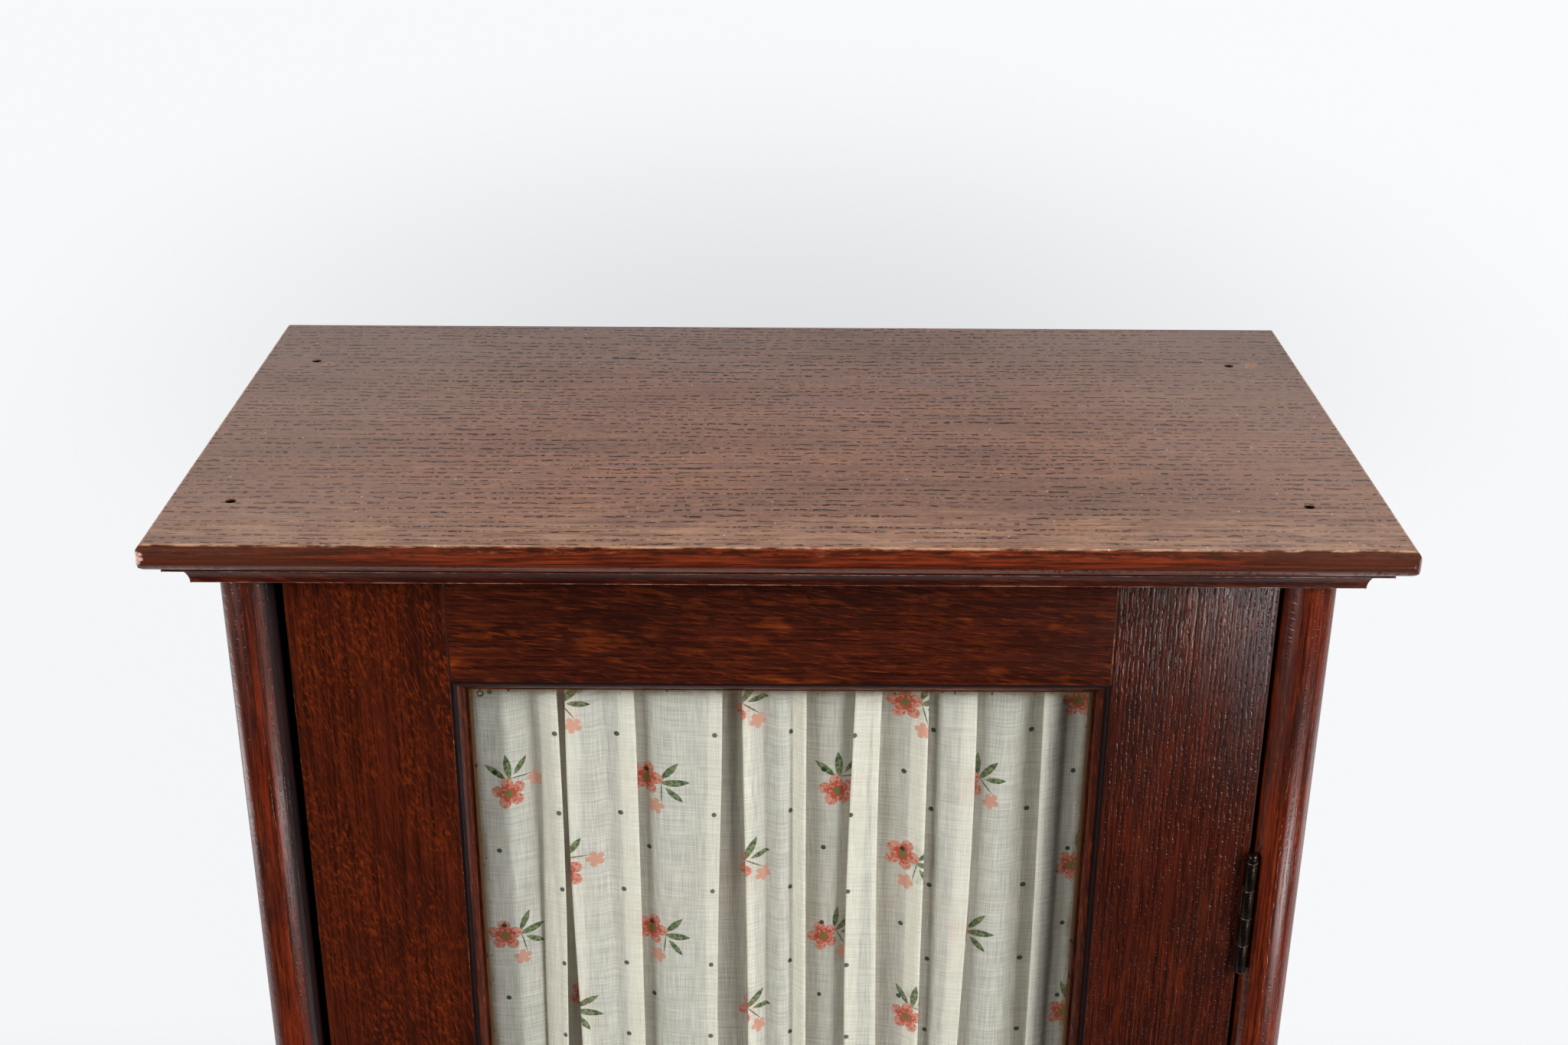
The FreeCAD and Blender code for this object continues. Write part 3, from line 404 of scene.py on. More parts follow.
def board_damage_and_hole_shade(f, wood, g, inset, y, z):
    """The torn corner, and painted shade on the screw holes' walls: faces below the top and far from the
    edges.
    """
    ragged = f.noise(f.place(), (330.0, 330.0, 330.0), 3.0, 0.6)
    torn = f.math("MULTIPLY_ADD", ragged, 0.006, f.distance(f.place(), CHIP_PLACE))
    raw = f.mix(f.step(g.chips, 0.42, 0.56), tone("5a2a20"), tone("d0a898"))
    wood = f.mix(f.step(torn, 0.0072, 0.0058), wood, raw)
    below_top = f.step(z, BOARD_HIGH - 0.0003, BOARD_HIGH - 0.0012)
    above_bottom = f.step(z, BOARD_LOW + 0.0002, BOARD_LOW + 0.0008)
    back = f.math("SUBTRACT", BOARD_BOX[1].y, y)
    inside = f.step(f.math("MINIMUM", inset, back), *HOLE_INSET)
    return f.tint(wood, "0b0504", below_top, above_bottom, inside)


def top_oak(name):
    """Top board: satin brown oak with rows of dark pores along its length and a redder nose."""
    f = Finish(name)
    g = board_grain(f)
    x, y, z = f.parts(f.place())
    front = f.math("SUBTRACT", y, BOARD_BOX[0].y)
    side = f.math("SUBTRACT", BOARD_BOX[1].x, f.math("ABSOLUTE", x))
    inset = f.math("MINIMUM", front, side)
    ends = f.step(f.math("ABSOLUTE", x), *GREYED_ENDS)
    edge = f.step(inset, NOSE_SETBACK + 0.0002, NOSE_SETBACK - 0.0006)
    wood = f.mix(f.times(edge, 0.95), board_wood(f, g, ends, y), nose_skin(f, g, ends, z))
    arris = f.step(f.math("ABSOLUTE", f.math("SUBTRACT", inset, NOSE_SETBACK)), 0.0011, 0.0003)
    upper = f.step(z, BOARD_HIGH - 0.004, BOARD_HIGH - 0.003)
    wood = f.tint(wood, "b58a6c", arris, upper, f.step(g.chips, 0.4, 0.6), 0.8)
    warm = f.times(f.step(front, WARM_REACH, NOSE_SETBACK), f.step(g.tan, 0.4, 0.64))
    flat_share = f.math("SUBTRACT", WARM_SHARE, f.times(edge, WARM_SHARE))
    wood = f.tint(wood, "b58d6c", warm, flat_share)
    wood = board_marks(f, wood, x, y, z)
    wood = board_damage_and_hole_shade(f, wood, g, inset, y, z)
    relief = f.math("SUBTRACT", f.times(g.fibre, 0.3), g.pores)
    relief = f.times(relief, f.math("SUBTRACT", 1.0, edge))
    satin = f.blend(f.step(g.cloud, 0.3, 0.7), 0.32, 0.42)
    rough = f.blend(edge, satin, 0.2)
    dry = f.largest(g.pores, f.times(g.fine, 0.4))
    shine = f.math("MULTIPLY_ADD", dry, -0.42, 0.5)
    normal = f.bump(relief, 0.0003)
    return f.principled(Base_Color=wood, Roughness=rough, Specular_IOR_Level=shine, Normal=normal)


def stained_oak(name, along, dark="240b05", mid="491a0c", light="8a3c14", fleck=0.5,
                fleck_rates=(70.0, 480.0), tilt=0.12, relief=0.00003, pores=0.25, rough=(0.13, 0.22),
                shine=0.5, rays=0.0, painted_shade=None, painted_sheen=None):
    """Red-brown stained oak under old varnish, with orange ray flecks.

    rays is the strength of larger, sparse ray patches. The argument for painted shade names a coordinate and
    the two values between which a dark band of painted shade fades in. The argument for painted sheen
    names the two heights between which pale dashes in the pores fade in as a painted sheen.
    """
    f = Finish(name)
    grain = f.along_grain(along)
    fibre = f.noise(grain, (16.0, 620.0, 620.0), 4.0, 0.62)
    cloud = f.noise(grain, (9.0, 24.0, 24.0), 4.0, 0.6)
    turned = f.node("VectorRotate", {"Vector": grain, "Angle": tilt}, rotation_type="Z_AXIS").outputs[0]
    fine = f.noise(turned, (55.0, 1000.0, 1000.0), 3.0, 0.6)
    ray = f.noise(turned, (fleck_rates[0], fleck_rates[1], fleck_rates[1]), 4.0, 0.62, 0.6)
    patch = f.noise(grain, (18.0, 45.0, 45.0), 3.0, 0.6)
    pore = pore_rows(f, grain, 330.0, 190.0, 2.4, 0.24, 0.9)
    wood = f.mix(f.step(fibre, 0.32, 0.7), tone(dark), tone(mid))
    wood = f.tint(wood, dark, f.step(cloud, 0.42, 0.72), 0.75)
    wood = f.tint(wood, light, f.step(ray, 0.46, 0.72), f.step(patch, 0.34, 0.62), fleck)
    wood = f.tint(wood, light, f.step(fine, 0.54, 0.74), 0.4)
    if rays:
        blot = f.noise(turned, (30.0, 80.0, 80.0), 2.0, 0.5, 0.6)
        wood = f.tint(wood, light, f.step(blot, 0.6, 0.84), f.step(fibre, 0.25, 0.6), rays)
    wood = f.tint(wood, "120604", pore, pores)
    place = f.parts(f.place())
    # Pale dashes in the pores near the top: a painted sheen.
    if painted_sheen is not None:
        lines = pore_rows(f, f.vector("ADD", grain, (0.1, 0.05, 0.0)), 400.0, 110.0, 3.0, 0.15, 1.2)
        wood = f.tint(wood, "a09088", lines, f.step(place[2], *painted_sheen), f.step(patch, 0.3, 0.55), 0.36)
    # Dark band where shade falls: painted shade.
    if painted_shade is not None:
        axis, start, end = painted_shade
        wood = f.tint(wood, "121113", f.step(place[axis], start, end), 0.88)
    gloss = f.blend(f.step(cloud, 0.3, 0.7), *rough)
    normal = f.bump(f.math("SUBTRACT", f.times(fibre, 0.5), pore), relief)
    return f.principled(Base_Color=wood, Roughness=gloss, Specular_IOR_Level=shine, Normal=normal)


def rubbed_oak(name, dark, worn, share):
    """Arris where the stain is rubbed through in broken lengths down to paler wood."""
    f = Finish(name)
    place = f.place()
    patch = f.noise(place, (45.0, 45.0, 45.0), 4.0, 0.7)
    chip = f.noise(place, (260.0, 260.0, 260.0), 3.0, 0.6)
    wear = f.math("ADD", f.times(patch, 0.7), f.times(chip, 0.3))
    wood = f.mix(f.step(wear, 0.66 - share, 0.8 - share), tone(dark), tone(worn))
    return f.principled(Base_Color=wood, Roughness=0.38, Specular_IOR_Level=0.25)


def inside_oak(name, along, board=None):
    """Bare oak of the shelves and back, dulled by age; board is the width of boards that differ in tone."""
    f = Finish(name)
    grain = f.along_grain(along)
    fibre = f.noise(grain, (14.0, 500.0, 500.0), 4.0, 0.6)
    cloud = f.noise(grain, (5.0, 18.0, 18.0), 3.0)
    pores = pore_rows(f, grain, 260.0, 190.0, 2.0, 0.22)
    wood = f.mix(f.step(fibre, 0.3, 0.75), tone("5b3a22"), tone("86603c"))
    wood = f.tint(wood, "6a472c", f.step(cloud, 0.4, 0.75))
    if board is not None:
        across = f.math("SUBTRACT", f.parts(f.place())[0], BACK_BOX[0].x)
        number = f.math("FLOOR", f.math("DIVIDE", across, board))
        chance = f.node("TexWhiteNoise", {"W": number}, noise_dimensions="1D").outputs["Value"]
        wood = f.tint(wood, "4a2f1b", chance, 0.5)
    wood = f.tint(wood, "2e1a0f", pores, 0.7)
    height = f.math("SUBTRACT", f.times(fibre, 0.5), pores)
    return f.principled(Base_Color=wood, Roughness=0.62, Normal=f.bump(height, 0.0003))


def clear_glass(name):
    """Old clear pane with a faint gloss, and brown stain and specks of putty along its edges."""
    f = Finish(name)
    wave = f.noise(f.place(), (9.0, 9.0, 5.0), 1.0)
    normal = f.bump(wave, 0.0006)
    gloss = f.node("BsdfGlossy", {"Color": (1, 1, 1, 1), "Roughness": 0.04, "Normal": normal})
    clear = f.node("BsdfTransparent", {"Color": (0.975, 0.98, 0.97, 1)})
    facing = f.node("LayerWeight", {"Blend": 0.5}).outputs["Facing"]
    share = f.math("MULTIPLY_ADD", f.math("POWER", facing, 5.0), 0.96, 0.04)
    pane = f.node("MixShader", {0: share, 1: clear.outputs[0], 2: gloss.outputs[0]})
    x, _, z = f.parts(f.place())
    edge = f.math("MINIMUM", f.math("SUBTRACT", x, SIGHT_X[0]), f.math("SUBTRACT", SIGHT_X[1], x))
    edge = f.math("MINIMUM", edge, f.math("SUBTRACT", SIGHT_TOP, z))
    patch = f.noise(f.place(), (60.0, 60.0, 24.0), 3.0, 0.6)
    blot = f.noise(f.place(), (330.0, 330.0, 210.0), 3.0, 0.65)
    near = f.math("MULTIPLY_ADD", patch, -0.007, edge)
    wash = f.times(f.step(near, 0.0022, -0.0030), 0.55)
    spot = f.times(f.step(near, 0.0016, -0.0004), f.step(blot, 0.6, 0.68))
    old = f.node("BsdfDiffuse", {"Color": f.mix(spot, tone("5e4a30"), tone("1d130a"))})
    share = f.largest(wash, f.times(spot, 0.85))
    return f.surface(f.node("MixShader", {0: share, 1: pane.outputs[0], 2: old.outputs[0]}).outputs[0])


def cell(f, flat, pitch, shift):
    """Places within half-drop cells of the cloth, turned by a random angle in each."""
    x, y, _ = f.parts(f.vector("DIVIDE", f.vector("ADD", flat, (*shift, 0.0)), (*pitch, 1.0)))
    column = f.math("FLOOR", x)
    y = f.math("MULTIPLY_ADD", column, 0.5, y)
    row = f.math("FLOOR", y)
    local = f.joined(*(f.math("SUBTRACT", f.math("FRACT", part), 0.5) for part in (x, y)))
    local = f.vector("MULTIPLY", local, (*pitch, 1.0))
    chance = f.node("TexWhiteNoise", {"Vector": f.joined(column, row, 7.0)}).outputs["Value"]
    angle = f.times(f.math("SUBTRACT", chance, 0.5), 2.4)
    turned = f.node("VectorRotate", {"Vector": local, "Angle": angle}, rotation_type="Z_AXIS")
    return turned.outputs[0]


def moved(f, local, place, angle):
    """Places seen from a motif's own centre and turn, as two numbers."""
    shifted = f.vector("SUBTRACT", local, (*place, 0.0))
    turned = f.node("VectorRotate", {"Vector": shifted, "Angle": -angle}, rotation_type="Z_AXIS")
    return f.parts(turned.outputs[0])[:2]


def leaf(f, local, place, angle, length, width):
    """Pointed leaf: its half width falls with the square of the distance from its middle."""
    x, y = moved(f, local, place, angle)
    reach = f.math("SUBTRACT", 1.0, f.math("POWER", f.math("DIVIDE", x, length / 2), 2.0))
    room = f.math("SUBTRACT", f.times(reach, width / 2), f.math("ABSOLUTE", y))
    return f.step(room, -0.0001, 0.0004)


def blossom(f, local, place, radius):
    """Five-petalled flower: mask of the petals, and distance from the centre as a share of the radius."""
    x, y = moved(f, local, place, 0.3)
    far = f.length(f.joined(x, y))
    turn = f.math("ARCTAN2", y, x)
    lobes = f.math("POWER", f.math("ABSOLUTE", f.math("COSINE", f.times(turn, 2.5))), 0.55)
    rim = f.math("MULTIPLY_ADD", lobes, 0.55 * radius, 0.45 * radius)
    share = f.math("DIVIDE", far, radius)
    return f.step(f.math("SUBTRACT", rim, far), -0.0002, 0.0005), share


def printed_voile(name, flat_size):
    """Thin cream voile, see-through between its threads, printed with small sprigs and dots."""
    f = Finish(name)
    uv = f.node("UVMap", uv_map="flat").outputs[0]
    flat = f.vector("MULTIPLY", uv, (*flat_size, 1.0))
    threads_down = f.noise(flat, (1300.0, 40.0, 1.0), 2.0, 0.6)
    threads_across = f.noise(flat, (40.0, 1300.0, 1.0), 2.0, 0.6)
    slubs = f.noise(flat, (9.0, 320.0, 1.0), 3.0, 0.65, 0.5)
    body = f.noise(flat, (40.0, 40.0, 1.0), 3.0)
    sprig = cell(f, flat, SPRIG_PITCH, (0.013, 0.031))
    petals, share = blossom(f, sprig, (-0.006, 0.006), 0.0115)
    bud, _ = blossom(f, sprig, (0.012, 0.014), 0.0058)
    flower = f.largest(petals, bud)
    green = f.largest(
        leaf(f, sprig, (0.007, -0.007), -0.9, 0.019, 0.0052),
        leaf(f, sprig, (-0.001, -0.010), -1.7, 0.017, 0.0046),
        leaf(f, sprig, (0.013, -0.001), -0.1, 0.015, 0.0042),
        leaf(f, sprig, (0.007, 0.004), 0.75, 0.020, 0.0012),
    )
    dot_x, dot_y, _ = f.parts(cell(f, flat, DOT_PITCH, (0.0, 0.009)))
    dot = f.step(f.length(f.joined(dot_x, dot_y)), 0.0019, 0.0014)
    brush = f.noise(sprig, (420.0, 420.0, 1.0), 3.0, 0.6)
    cream = f.mix(f.step(body, 0.35, 0.7), tone("faf7ee"), tone("f5f2e8"))
    # Cloth lying further back, in the valleys of the folds, gets painted shade.
    back_fold_shade = f.step(f.parts(f.place())[1], ROD_Y - 0.002, ROD_Y + 0.004)
    cream = f.tint(cream, "a3937c", back_fold_shade, 0.4)
    green_ink = f.mix(f.step(brush, 0.42, 0.6), tone("2f4a2c"), tone("86985f"))
    stroke = f.step(f.math("MULTIPLY_ADD", share, -0.3, brush), 0.2, 0.42)
    petal_ink = f.mix(stroke, tone("eeb09a"), tone("d24b33"))
    petal_ink = f.tint(petal_ink, "7d7a33", f.step(share, 0.26, 0.2))
    colour = f.mix(f.times(green, 0.92), cream, green_ink)
    colour = f.mix(f.times(flower, 0.94), colour, petal_ink)
    colour = f.tint(colour, "2c4430", dot, 0.92)
    weave = f.math("ADD", f.times(threads_down, 0.44), f.times(threads_across, 0.42))
    weave = f.math("MULTIPLY_ADD", slubs, 0.14, weave)
    cover = f.blend(f.step(weave, 0.36, 0.64), *VOILE_COVER)
    cover = f.largest(cover, f.times(f.largest(flower, green, dot), 0.88))
    normal = f.bump(weave, 0.0003)
    cloth = f.node("BsdfDiffuse", {"Color": colour, "Normal": normal})
    through = f.node("BsdfTranslucent", {"Color": colour, "Normal": normal})
    solid = f.node("MixShader", {0: VOILE_THROUGH, 1: cloth.outputs[0], 2: through.outputs[0]})
    clear = f.node("BsdfTransparent")
    return f.surface(f.node("MixShader", {0: cover, 1: clear.outputs[0], 2: solid.outputs[0]}).outputs[0])


def metal(name, dull, bright, share, rough):
    """Old metal: dull brown skin over brighter metal, worn through in patches."""
    f = Finish(name)
    place = f.place()
    patch = f.noise(place, (60.0, 60.0, 60.0), 4.0, 0.65)
    speck = f.noise(place, (700.0, 700.0, 700.0), 2.0)
    worn = f.step(patch, 0.62 - share, 0.78 - share)
    colour = f.mix(worn, tone(dull), tone(bright))
    colour = f.tint(colour, "17110c", f.step(speck, 0.55, 0.7), 0.4)
    gloss = f.blend(f.step(speck, 0.35, 0.7), *rough)
    return f.principled(Base_Color=colour, Metallic=0.85, Roughness=gloss, Normal=f.bump(speck, 0.00008))


def use(finish, *names, rubbed=None, arris=ARRIS):
    """Give a finish to CAD nodes by the starts of their names; rubbed rounds and finishes their arrises."""
    for name, node in NODES.items():
        if not name.startswith(names):
            continue
        node.data.materials.clear()
        node.data.materials.append(finish)
        if rubbed is not None:
            node.data.materials.append(rubbed)
            node.modifiers.new("joined", "WELD").merge_threshold = 1e-6
            bevel = node.modifiers.new("arris", "BEVEL")
            bevel.width = arris
            bevel.segments = 2
            bevel.limit_method = "ANGLE"
            bevel.angle_limit = ARRIS_ANGLE
            bevel.material = 1


def stage_material(name, middle, squeeze, reach, albedo, glow, shade=None, sink=None):
    """White stage that keeps the object's shadow, fades out with distance and hides its back.

    squeeze scales the distance along each direction, so that the stage fades out as an oval. shade names
    a place, a squeeze and a share by which the glow falls off towards that place, as a painted shadow.
    sink names two heights between which the stage fades out downwards.
    """
    f = Finish(name)
    if shade is not None:
        place, flat, share = shade
        near = f.vector("MULTIPLY", f.vector("SUBTRACT", f.place(), place), flat)
        glow = f.math("MULTIPLY_ADD", f.step(f.length(near), 1.0, 0.1), -share * glow, glow)
    lit = f.node("BsdfDiffuse", {"Color": (*(albedo * c for c in tone(STAGE_WHITE)[:3]), 1.0)})
    shine = f.node("Emission", {"Color": tone(STAGE_WHITE), "Strength": glow})
    both = f.node("AddShader", {0: lit.outputs[0], 1: shine.outputs[0]})
    clear = f.node("BsdfTransparent")
    offset = f.vector("MULTIPLY", f.vector("SUBTRACT", f.place(), middle), squeeze)
    gone = f.step(f.length(offset), reach * FADE_SHARE, reach)
    gone = f.largest(gone, f.node("NewGeometry").outputs["Backfacing"])
    if sink is not None:
        gone = f.largest(gone, f.step(f.parts(f.place())[2], *sink))
    return f.surface(f.node("MixShader", {0: gone, 1: both.outputs[0], 2: clear.outputs[0]}).outputs[0])


def stage_plane(name, corners, material):
    """Flat stage piece between four corners."""
    mesh = bpy.data.meshes.new(name)
    mesh.from_pydata(corners, [], [range(4)])
    piece = bpy.data.objects.new(name, mesh)
    bpy.context.scene.collection.objects.link(piece)
    mesh.materials.append(material)
    return piece


def add_camera():
    """Camera at the photograph's place and angle."""
    right = Vector((math.cos(CAMERA_YAW), math.sin(CAMERA_YAW), 0))
    ahead = Vector((-math.sin(CAMERA_YAW), math.cos(CAMERA_YAW), 0))
    rise = Vector((0, 0, 1))
    forward = math.cos(CAMERA_PITCH) * ahead - math.sin(CAMERA_PITCH) * rise
    upward = math.sin(CAMERA_PITCH) * ahead + math.cos(CAMERA_PITCH) * rise
    c, s = math.cos(CAMERA_ROLL), math.sin(CAMERA_ROLL)
    turned = Matrix((c * right - s * upward, s * right + c * upward, -forward)).transposed()
    data = bpy.data.cameras.new("camera")
    data.sensor_width = SENSOR_WIDTH
    data.lens = FOCAL_PIXELS * SENSOR_WIDTH / PHOTO_WIDTH
    camera = bpy.data.objects.new("camera", data)
    camera.matrix_world = Matrix.Translation(CAMERA_PLACE) @ turned.to_4x4()
    bpy.context.scene.collection.objects.link(camera)
    bpy.context.scene.camera = camera


def add_stage():
    """Floor under the cabinet, and a backdrop that only the camera sees."""
    reach = FLOOR_REACH
    squeeze = (1, reach / FLOOR_DEPTH, 1)
    white = stage_material("floor_white", (0, FLOOR_MIDDLE, 0), squeeze, reach, FLOOR_ALBEDO, 0.0)
    corners = [(-reach, -reach, 0), (reach, -reach, 0), (reach, reach, 0), (-reach, reach, 0)]
    stage_plane("floor", corners, white)
    reach, y = BACKDROP_REACH, BACKDROP_Y
    white = stage_material("backdrop_white", (0, y, BACKDROP_HEIGHT), (1, 1, 1), reach, BACKDROP_ALBEDO,
                           BACKDROP_GLOW, shade=BACKDROP_SHADE, sink=BACKDROP_SINK)
    corners = [(-reach, y, -reach), (reach, y, -reach), (reach, y, reach), (-reach, y, reach)]
    wall = stage_plane("backdrop", corners, white)
    for kind in ("diffuse", "glossy", "transmission", "shadow"):
        setattr(wall, "visible_" + kind, False)


def add_lamp(name, place, target, size, power):
    """Soft square lamp turned to a point."""
    data = bpy.data.lights.new(name, "AREA")
    data.shape = "RECTANGLE"
    data.size, data.size_y = size
    data.energy = power
    lamp = bpy.data.objects.new(name, data)
    aim = Vector(target) - Vector(place)
    lamp.matrix_world = Matrix.Translation(place) @ aim.to_track_quat("-Z", "Y").to_matrix().to_4x4()
    lamp.visible_camera = False
    bpy.context.scene.collection.objects.link(lamp)


def add_world():
    """White surround. As light on the object it is bright at the back and dark in front of the door."""
    world = bpy.data.worlds.new("studio")
    bpy.context.scene.world = world
    world.use_nodes = True
    nodes, links = world.node_tree.nodes, world.node_tree.links
    nodes.clear()
    path = nodes.new("ShaderNodeLightPath")
    seen = nodes.new("ShaderNodeBackground")
    seen.inputs["Color"].default_value = tone(STAGE_WHITE)
    direction = nodes.new("ShaderNodeTexCoord")
    split = nodes.new("ShaderNodeSeparateXYZ")
    rise = nodes.new("ShaderNodeMapRange")
    rise.interpolation_type = "SMOOTHSTEP"
    rise.inputs["From Min"].default_value = -0.35
    rise.inputs["From Max"].default_value = 0.55
    rise.inputs["To Min"].default_value = ROOM_FRONT
    rise.inputs["To Max"].default_value = ROOM_BACK
    room = nodes.new("ShaderNodeBackground")
    room.inputs["Color"].default_value = tone(STAGE_WHITE)
    mixed = nodes.new("ShaderNodeMixShader")
    out = nodes.new("ShaderNodeOutputWorld")
    links.new(direction.outputs["Generated"], split.inputs[0])
    links.new(split.outputs["Y"], rise.inputs["Value"])
    links.new(rise.outputs[0], room.inputs["Strength"])
    links.new(path.outputs["Is Camera Ray"], mixed.inputs[0])
    links.new(room.outputs[0], mixed.inputs[1])
    links.new(seen.outputs[0], mixed.inputs[2])
    links.new(mixed.outputs[0], out.inputs[0])


def put(name, mesh, body, material):
    """Add a finished mesh as a piece that rides on a body."""
    piece = bpy.data.objects.new(name, mesh)
    bpy.context.scene.collection.objects.link(piece)
    mesh.materials.append(material)
    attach(piece, body)
    return piece


def grid_mesh(name, points):
    """Smooth mesh over a grid of points, an array of rows by columns by three."""
    rows, columns = points.shape[:2]
    corner = np.arange(rows * columns).reshape(rows, columns)
    quads = np.stack([corner[:-1, :-1], corner[:-1, 1:], corner[1:, 1:], corner[1:, :-1]], -1).reshape(-1, 4)
    mesh = bpy.data.meshes.new(name)
    mesh.from_pydata(points.reshape(-1, 3), [], quads)
    mesh.polygons.foreach_set("use_smooth", np.ones(len(quads), bool))
    return mesh


def set_uv(mesh, u, v):
    """Give each corner the flat place (u, v) of its vertex."""
    index = np.empty(len(mesh.loops), np.int32)
    mesh.loops.foreach_get("vertex_index", index)
    pairs = np.stack([u.ravel()[index], v.ravel()[index]], -1)
    mesh.uv_layers.new(name="flat").data.foreach_set("uv", pairs.astype(np.float32).ravel())


def cloth_stations():
    """Stations down the cloth: height, offset from the rod's axis and share of the fold depth.

    The cloth starts behind the top rod, goes over the heading and down in front of both rods, and ends
    behind the bottom rod, so that each rod lies in a stitched casing.
    """
    wrap = ROD_RADIUS + 0.0026
    heading = CLOTH_BOX[1].z - ROD_TOP
    hem = ROD_LOW - CLOTH_BOX[0].z
    head = [
        (-0.0105, 0.0009, 0.55), (-0.0065, 0.0006, 0.5), (-0.0025, wrap, 0.25), (0.0025, wrap, 0.25),
        (0.0065, 0.0006, 0.5), (heading - 0.0006, 0.0005, 0.7), (heading, 0.0, 0.7),
        (heading - 0.0006, -0.0005, 0.7), (0.0065, -0.0006, 0.5), (0.0025, -wrap, 0.25),
        (-0.0025, -wrap, 0.25), (-0.0065, -0.0006, 0.5), (-0.016, 0.0, 0.8), (-0.045, 0.0, 1.0),
    ]
    foot = [
        (0.045, 0.0, 1.0), (0.014, 0.0, 0.8), (0.0065, -0.0006, 0.5), (0.0025, -wrap, 0.25),
        (-0.0025, -wrap, 0.25), (-0.0062, -0.0006, 0.5), (-hem, 0.0, 0.5), (-0.0062, 0.0006, 0.5),
        (-0.0025, wrap, 0.25), (0.0025, wrap, 0.25), (0.0065, 0.0006, 0.5), (0.0105, 0.0009, 0.55),
    ]
    down = [(ROD_TOP + z, y, share) for z, y, share in head]
    down += [(ROD_LOW + z, y, share) for z, y, share in foot]
    return np.array(down)


def spread(values, count):
    """Rows of values re-sampled to a count, evenly by their own length."""
    steps = np.linalg.norm(np.diff(values[:, :2], axis=0), axis=1)
    run = np.concatenate([[0], np.cumsum(steps)])
    dense = np.linspace(0, 1, count)
    even = dense * run[-1]
    by_station = np.interp(dense, np.linspace(0, 1, len(run)), run)
    at = (even + by_station) / 2
    return np.stack([np.interp(at, run, values[:, i]) for i in range(values.shape[1])], -1), at


def pleat(kind, x, size):
    """Plan points (across, depth) of one turn of the cloth; depth is negative towards the pane.

    A bend is one point. A right pleat comes forward to its edge at x and folds back under itself by
    size; a left pleat runs past x at the back, folds back to its edge at x and turns to the front.
    """
    if kind == "bend":
        return [(x, size)]
    if kind == "right":
        return [(x - size * share, depth) for share, depth in PLEAT_TURN]
    return [(x + size * share, depth) for share, depth in reversed(PLEAT_TURN)]


def cloth_plan():
    """Plan of the gathered cloth at even steps of its own length, as arrays across, depth and length."""
    first, last = (CLOTH_BOX[0].x + 0.001, 0.001), (CLOTH_BOX[1].x - 0.001, 0.0005)
    corners = np.array([first] + [p for turn in CLOTH_PATH for p in pleat(*turn)] + [last])
    run = np.concatenate([[0], np.cumsum(np.hypot(*np.diff(corners, axis=0).T))])
    at = np.arange(0, run[-1], PLAN_STEP)
    line = np.stack([np.interp(at, run, corners[:, i]) for i in (0, 1)])
    half = round(FOLD_SMOOTH / PLAN_STEP)
    kernel = np.hanning(2 * half + 1)
    kernel /= kernel.sum()
    padded = [np.pad(row, half, mode="reflect", reflect_type="odd") for row in line]
    soft = [np.convolve(row, kernel, "valid") for row in padded]
    length = np.concatenate([[0], np.cumsum(np.hypot(*np.diff(soft)))])
    even = np.linspace(0, length[-1], CLOTH_COLUMNS)
    return np.interp(even, length, soft[0]), np.interp(even, length, soft[1]), even


def curtain_points():
    """Points of the gathered cloth and their flat places.

    Across: the plan path of pleats and bends. Down: the path's depth closes up towards the casings,
    and slow sines of height and length make the pleats drift sideways and breathe.
    """
    down, v = spread(cloth_stations(), CLOTH_ROWS)
    z, off, share = (down[:, i][:, None] for i in range(3))
    x, depth, u = cloth_plan()
    fall = ROD_TOP - z
    edge = np.clip(np.minimum(x - CLOTH_BOX[0].x, CLOTH_BOX[1].x - x) / CALM_EDGE, 0, 1)
    drift = 0.0035 * np.sin(41.0 * u + 4.5 * fall) * np.sin(4.0 * fall)
    drift = drift + 0.0010 * np.sin(83.0 * u + 13.0 * fall)
    breath = 1 + 0.10 * np.sin(55.0 * u + 8.0 * fall)
    ripple = 0.0004 * np.sin(210.0 * u + 21.0 * fall) * np.sin(31.0 * u - 16.0 * fall)
    across = x + drift * edge * share
    deep = ROD_Y + off + (depth * breath + ripple) * share
    points = np.stack([across, deep, np.broadcast_to(z, deep.shape)], -1)
    return points, np.broadcast_to(u, deep.shape), np.broadcast_to(v[:, None], deep.shape)


def screw_head(face, facing, y, z):
    """One slotted screw head on a face across X.

    Over a disc drawn as rows of straight chords, the height falls with the square of the distance from
    the middle, the middle chords are sunk as the slot, and the rim goes down into the face.
    """
    half = np.array([SCREW_SLOT, SCREW_SLOT + 0.03, 0.4, 0.65, 0.85, 0.96, 1.0])
    chord = np.concatenate([-half[::-1], half])[:, None]
    along = np.concatenate([[-1], np.linspace(-1, 1, 21), [1]])[None, :]
    u = along * np.sqrt(1 - chord ** 2)
    v = np.broadcast_to(chord, u.shape)
    height = SCREW_PROUD * (1 - 0.7 * (u ** 2 + v ** 2))
    height[np.abs(v) <= SCREW_SLOT] = SCREW_PROUD * 0.1
    height[:, [0, -1]] = -SCREW_PROUD / 2
    height[[0, -1], :] = -SCREW_PROUD / 2
    return np.stack([face + facing * height, y + facing * SCREW_RADIUS * v, z + SCREW_RADIUS * -u], -1)


def add_screws(name, body, leaf, face, facing):
    """Three staggered screws in one hinge leaf whose open side lies at face."""
    low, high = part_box(leaf)
    middle = (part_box("door_stile_right")[0].y + high.y) / 2
    for index in range(3):
        z = (low.z + high.z) / 2 + (index - 1) * SCREW_SPACING
        y = middle + (SCREW_STAGGER if index == 1 else -SCREW_STAGGER)
        label = f"{name}_{index + 1}"
        put(label, grid_mesh(label, screw_head(face, facing, y, z)), body, BRONZE_RUB)


